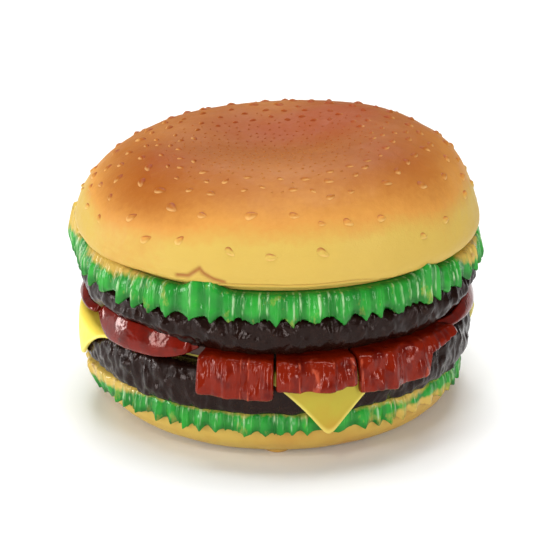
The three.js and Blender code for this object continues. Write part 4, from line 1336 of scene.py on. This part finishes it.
def rounded_outline(x0, x1, y0, y1, radius, corner_steps=5):
    points = []
    for cx, cy, start in ((x1 - radius, y1 - radius, 0), (x0 + radius, y1 - radius, 90),
                          (x0 + radius, y0 + radius, 180), (x1 - radius, y0 + radius, 270)):
        for step in range(corner_steps + 1):
            angle = math.radians(start + 90 * step / corner_steps)
            points.append((cx + radius * math.cos(angle), cy + radius * math.sin(angle)))
    return points


def rounded_block(name, x0, x1, y0, y1, z0, z1, radius, material):
    outline = rounded_outline(x0, x1, y0, y1, radius)
    count = len(outline)
    points = [(x, y, z) for z in (z0, z1) for x, y in outline]
    faces = [(k, (k + 1) % count, count + (k + 1) % count, count + k) for k in range(count)]
    faces.append(tuple(reversed(range(count))))
    faces.append(tuple(range(count, 2 * count)))
    return mesh_object(name, points, faces, material, weld=False)


GLYPHS = {
    "key_star": "*", "key_0": "0", "key_hash": "#", "key_redial": "", "key_mute": "",
    "key_flash": "", **{f"key_{digit}": str(digit) for digit in range(1, 10)},
}


class BURGER_OT_keys(bpy.types.Operator):
    """Build the fifteen dished key caps and print the digits on them"""
    bl_idname = "burger.keys"
    bl_label = "Keys"

    def execute(self, context):
        look = context.scene.burger_phone
        ivory = plastic_finish("key_plastic", tuple(look.key), 0.36)
        special = {
            "key_mute": plastic_finish("mute_plastic", tuple(look.key_red), 0.36),
            "key_redial": plastic_finish("redial_plastic", tuple(look.key_green), 0.36),
            "key_flash": plastic_finish("flash_plastic", tuple(look.key_grey), 0.36),
        }
        ink = plastic_finish("digit_ink", tuple(look.glyph), 0.5)
        for name in KEY_NAMES:
            body = name + "_cap"
            low, high = box_mm(name)
            self.cap(name, body, low, high, special.get(name, ivory))
            if GLYPHS[name]:
                self.digit(name, body, GLYPHS[name], (low + high) / 2, high.z, ink)
        return {"FINISHED"}

    @staticmethod
    def cap(name, body, low, high, plastic):
        """Levels of a rounded oblong from the flange up to a dished top."""
        levels = [
            (0.0, low.z), (0.0, low.z + 0.8), (0.95, low.z + 0.85), (0.95, high.z - 1.1),
            (1.05, high.z - 0.6), (1.35, high.z - 0.2), (1.8, high.z), (2.4, high.z - 0.08),
            (3.4, high.z - 0.28), (4.6, high.z - 0.4),
        ]
        points, faces, count = [], [], 0
        for inset, z in levels:
            radius = max(1.5 - 0.3 * inset, 0.25)
            outline = rounded_outline(low.x + inset, high.x - inset, low.y + inset * 0.94,
                                      high.y - inset * 0.94, radius)
            count = len(outline)
            points += [(x, y, z) for x, y in outline]
        for level in range(len(levels) - 1):
            a, b = level * count, (level + 1) * count
            faces += [(a + k, a + (k + 1) % count, b + (k + 1) % count, b + k)
                      for k in range(count)]
        faces.append(tuple(reversed(range(count))))
        faces.append(tuple(range((len(levels) - 1) * count, len(levels) * count)))
        made = mesh_object(name + "_top", points, faces, plastic, weld=False)
        sharpen(made, 50)
        finish_piece(made, body, "key", name)

    @staticmethod
    def digit(name, body, text, middle, top, ink):
        curve = bpy.data.curves.new(name + "_glyph", "FONT")
        curve.body = text
        curve.size = 5.2 * MM
        curve.align_x = "CENTER"
        curve.align_y = "CENTER"
        curve.extrude = 0.12 * MM
        curve.resolution_u = 4
        letter = bpy.data.objects.new(name + "_curve", curve)
        bpy.context.scene.collection.objects.link(letter)
        bpy.context.view_layer.update()
        mesh = bpy.data.meshes.new_from_object(
            letter.evaluated_get(bpy.context.evaluated_depsgraph_get()))
        bpy.data.objects.remove(letter)
        size = [vertex.co.copy() for vertex in mesh.vertices]
        middle_x = (min(p.x for p in size) + max(p.x for p in size)) / 2
        middle_y = (min(p.y for p in size) + max(p.y for p in size)) / 2
        mesh.transform(Matrix.Translation((middle.x * MM - middle_x, middle.y * MM - middle_y,
                                           (top - 0.38) * MM)))
        mesh.materials.clear()
        mesh.materials.append(ink)
        made = bpy.data.objects.new(name + "_digit", mesh)
        bpy.context.scene.collection.objects.link(made)
        finish_piece(made, body, "black_plastic")


class BURGER_OT_fittings(bpy.types.Operator):
    """Finish the screws, feet, hinge pin, socket, switches and the pieces inside"""
    bl_idname = "burger.fittings"
    bl_label = "Fittings"

    def execute(self, context):
        look = context.scene.burger_phone
        ivory = plastic_finish("knob_plastic", tuple(look.key), 0.4)
        black = plastic_finish("black_plastic", srgb(26, 26, 27), 0.45)
        looks = {
            "hook_plunger": (ivory, 0.2), "ringer_switch_knob": (ivory, 0.3),
            "tone_switch_knob": (ivory, 0.3), "key_mat": (rubber_finish(), 0.3),
            "mic_boot": (rubber_finish(), 0.2), "speaker_gasket": (rubber_finish(), 0.1),
            "main_board": (board_finish(), 0.1), "dialer_chip": (black, 0.2),
            "line_jack": (black, 0.2), "ringer": (black, 0.2), "hook_switch": (black, 0.2),
            "ringer_switch": (black, 0.2), "tone_switch": (black, 0.2),
            "speaker_clamp": (steel_finish(), 0.1), "microphone": (steel_finish(), 0.1),
            "earpiece_speaker": (steel_finish(), 0.1), "hinge_pin": (steel_finish(), 0.1),
            "speaker_diaphragm": (paper_finish(), 0.0),
        }
        for name, (material, width) in looks.items():
            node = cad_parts[name]
            node.data.materials.clear()
            node.data.materials.append(material)
            if width:
                soften(node, width)
        for index in range(4):
            self.screw(f"base_screw_{index + 1}", "base")
            self.foot(f"foot_{index + 1}")
        for index in range(3):
            self.screw(f"lid_screw_{index + 1}", "lid")
        self.contacts()
        return {"FINISHED"}

    @staticmethod
    def screw(name, body):
        """A pan head with a cross recess on a plain shank."""
        low, high = box_mm(name)
        middle = (low + high) / 2
        base, steel = low.z, steel_finish()
        head = smooth_line([(0, base), (1.6, base + 0.02), (2.6, base + 0.45),
                            (3.0, base + 1.2), (3.0, base + 1.6)], 14)
        outline = np.vstack([head, [(1.5, base + 1.6), (1.5, high.z - 1.2), (0, high.z)]])
        screw = lathe(name + "_turned", outline, 48, steel, middle.x, middle.y)
        arms = [block("recess", (middle.x - a, middle.y - b, base - 1),
                      (middle.x + a, middle.y + b, base + 0.9), steel)
                for a, b in ((1.5, 0.32), (0.32, 1.5))]
        cut(screw, arms)
        sharpen(screw, 35)
        finish_piece(screw, body, "screw_steel", name)

    @staticmethod
    def foot(name):
        low, high = box_mm(name)
        middle = (low + high) / 2
        outline = smooth_line([(0, 0.28), (2.6, 0.24), (3.3, 0.0), (4.3, 0.05), (4.9, 0.55),
                               (5.0, 1.2), (5.0, high.z)], 30)
        foot = lathe(name + "_pad", np.vstack([outline, [(0, high.z)]]), 64, foot_finish(),
                     middle.x, middle.y)
        sharpen(foot, 60)
        finish_piece(foot, "base", "foot_rubber", name)

    @staticmethod
    def contacts():
        """Four sprung wires that slope down through the socket's mouth."""
        gold = Finish("contact_gold", metallic=1.0)
        gold.paint(gold.mix(gold.noise(1.2, 2), srgb(214, 170, 88), srgb(232, 192, 112)))
        gold.use(gold.remap(gold.noise(2, 2), 0.3, 0.7, 0.18, 0.32), "Roughness")
        middle = middle_mm("line_jack")
        wires = []
        for index in range(4):
            x = middle.x + (index - 1.5) * 1.27
            start = Vector((x, JACK[1].y - 1.2, JACK[1].z - 1.1))
            end = Vector((x, JACK[1].y - 9.5, JACK[0].z + 5.0))
            across, up = Vector((0.22, 0, 0)), Vector((0, 0.12, 0.2))
            points = [p + across * a + up * b for p in (start, end)
                      for a, b in ((-1, -1), (1, -1), (1, 1), (-1, 1))]
            faces = [(0, 1, 2, 3), (7, 6, 5, 4), (0, 4, 5, 1), (1, 5, 6, 2), (2, 6, 7, 3),
                     (3, 7, 4, 0)]
            wires.append(mesh_object("wire", [tuple(p) for p in points], faces, gold.material,
                                     weld=False))
        finish_piece(joined("socket_contacts", wires), "base", "pressed_steel")


# ---- Stage -------------------------------------------------------------------------------

# Each light's name, place, width and height in metres, power in watts, and where it points.
SOFTBOXES = (
    ("left_softbox", (-0.98, -0.58, 0.27), 0.16, 0.50, 4.2, (0, 0, 0.07)),
    ("side_softbox", (-1.10, 0.16, 0.20), 0.16, 0.36, 3.8, (0, 0, 0.04)),
    ("right_softbox", (0.80, -0.80, 0.36), 0.14, 0.66, 4.2, (0, 0, 0.10)),
    ("front_softbox", (-0.20, -1.22, 0.34), 0.10, 0.60, 4.0, (0, 0, 0.10)),
    ("high_softbox", (-0.25, -0.80, 0.95), 0.12, 0.12, 1.2, (0, 0, 0.05)),
    ("overhead_softbox", (0.0, 0.05, 1.25), 0.70, 0.70, 12.0, (0, 0, 0.05)),
    ("background_softbox", (0.0, 1.30, 1.20), 0.90, 0.90, 10.0, (0, 0.95, 0)),
)


class BURGER_OT_stage(bpy.types.Operator):
    """Lay the pale floor, hang the soft lights and place the camera"""
    bl_idname = "burger.stage"
    bl_label = "Stage"

    def execute(self, context):
        scene = context.scene
        scene.view_settings.view_transform = "Standard"
        self.world(scene)
        self.floor()
        for softbox in SOFTBOXES:
            self.light(*softbox)
        self.camera(scene)
        return {"FINISHED"}

    @staticmethod
    def world(scene):
        world = bpy.data.worlds.new("studio")
        scene.world = world
        world.use_nodes = True
        background = world.node_tree.nodes["Background"]
        background.inputs["Color"].default_value = (1.0, 1.0, 1.0, 1.0)
        background.inputs["Strength"].default_value = 0.22

    @staticmethod
    def floor():
        finish = Finish("pale_floor", roughness=0.6, specular=0.2)
        speckle = finish.remap(finish.noise(60, 2), 0.3, 0.7, 0.0, 1.0)
        finish.paint(finish.mix(speckle, (0.96, 0.96, 0.96), (0.99, 0.99, 0.99)))
        half = 6000
        floor = mesh_object("floor", [(-half, -half, 0), (half, -half, 0), (half, half, 0),
                                      (-half, half, 0)], [(0, 1, 2, 3)], finish.material)

    @staticmethod
    def light(name, place, width, height, power, aim):
        lamp = bpy.data.lights.new(name, "AREA")
        lamp.shape = "RECTANGLE"
        lamp.size = width
        lamp.size_y = height
        lamp.energy = power
        holder = bpy.data.objects.new(name, lamp)
        holder.location = place
        holder.rotation_euler = (Vector(aim) - holder.location).to_track_quat(
            "-Z", "Y").to_euler()
        bpy.context.scene.collection.objects.link(holder)

    @staticmethod
    def camera(scene):
        """The camera looks down at the front from a little above."""
        camera = bpy.data.cameras.new("camera")
        camera.lens = 119.8
        camera.sensor_width = 36
        holder = bpy.data.objects.new("camera", camera)
        target = Vector((-0.0008, 0.0, 0.0465))
        elevation, distance = math.radians(20.8), 0.7
        back = Vector((0, -math.cos(elevation), math.sin(elevation)))
        holder.location = target + distance * back
        holder.rotation_euler = (-back).to_track_quat("-Z", "Y").to_euler()
        scene.collection.objects.link(holder)
        scene.camera = holder


# ---- Panel and registration --------------------------------------------------------------

OPERATORS = (
    BURGER_OT_stage, BURGER_OT_top_bun, BURGER_OT_lettuce, BURGER_OT_patties,
    BURGER_OT_cheese, BURGER_OT_tomatoes, BURGER_OT_bacon, BURGER_OT_bottom_bun,
    BURGER_OT_trays, BURGER_OT_keys, BURGER_OT_fittings,
)
GROUPS = (BURGER_PG_bun, BURGER_PG_filling, BURGER_PG_phone)


class BURGER_PT_panel(bpy.types.Panel):
    """Sizes, colours and build steps of the burger telephone"""
    bl_idname = "BURGER_PT_panel"
    bl_label = "Burger Telephone"
    bl_space_type = "VIEW_3D"
    bl_region_type = "UI"
    bl_category = "Burger Phone"

    def draw(self, context):
        for key in ("burger_bun", "burger_filling", "burger_phone"):
            settings = getattr(context.scene, key)
            box = self.layout.box()
            for name in settings.__annotations__:
                box.prop(settings, name)
        for operator in OPERATORS:
            self.layout.operator(operator.bl_idname)


def register():
    for item in (*GROUPS, *OPERATORS, BURGER_PT_panel):
        bpy.utils.register_class(item)
    bpy.types.Scene.burger_bun = bpy.props.PointerProperty(type=BURGER_PG_bun)
    bpy.types.Scene.burger_filling = bpy.props.PointerProperty(type=BURGER_PG_filling)
    bpy.types.Scene.burger_phone = bpy.props.PointerProperty(type=BURGER_PG_phone)


def unregister():
    for key in ("burger_bun", "burger_filling", "burger_phone"):
        delattr(bpy.types.Scene, key)
    for item in (BURGER_PT_panel, *reversed(OPERATORS), *reversed(GROUPS)):
        bpy.utils.unregister_class(item)


def main():
    register()
    for operator in OPERATORS:
        group, name = operator.bl_idname.split(".")
        getattr(getattr(bpy.ops, group), name)()


if __name__ == "__main__":
    main()
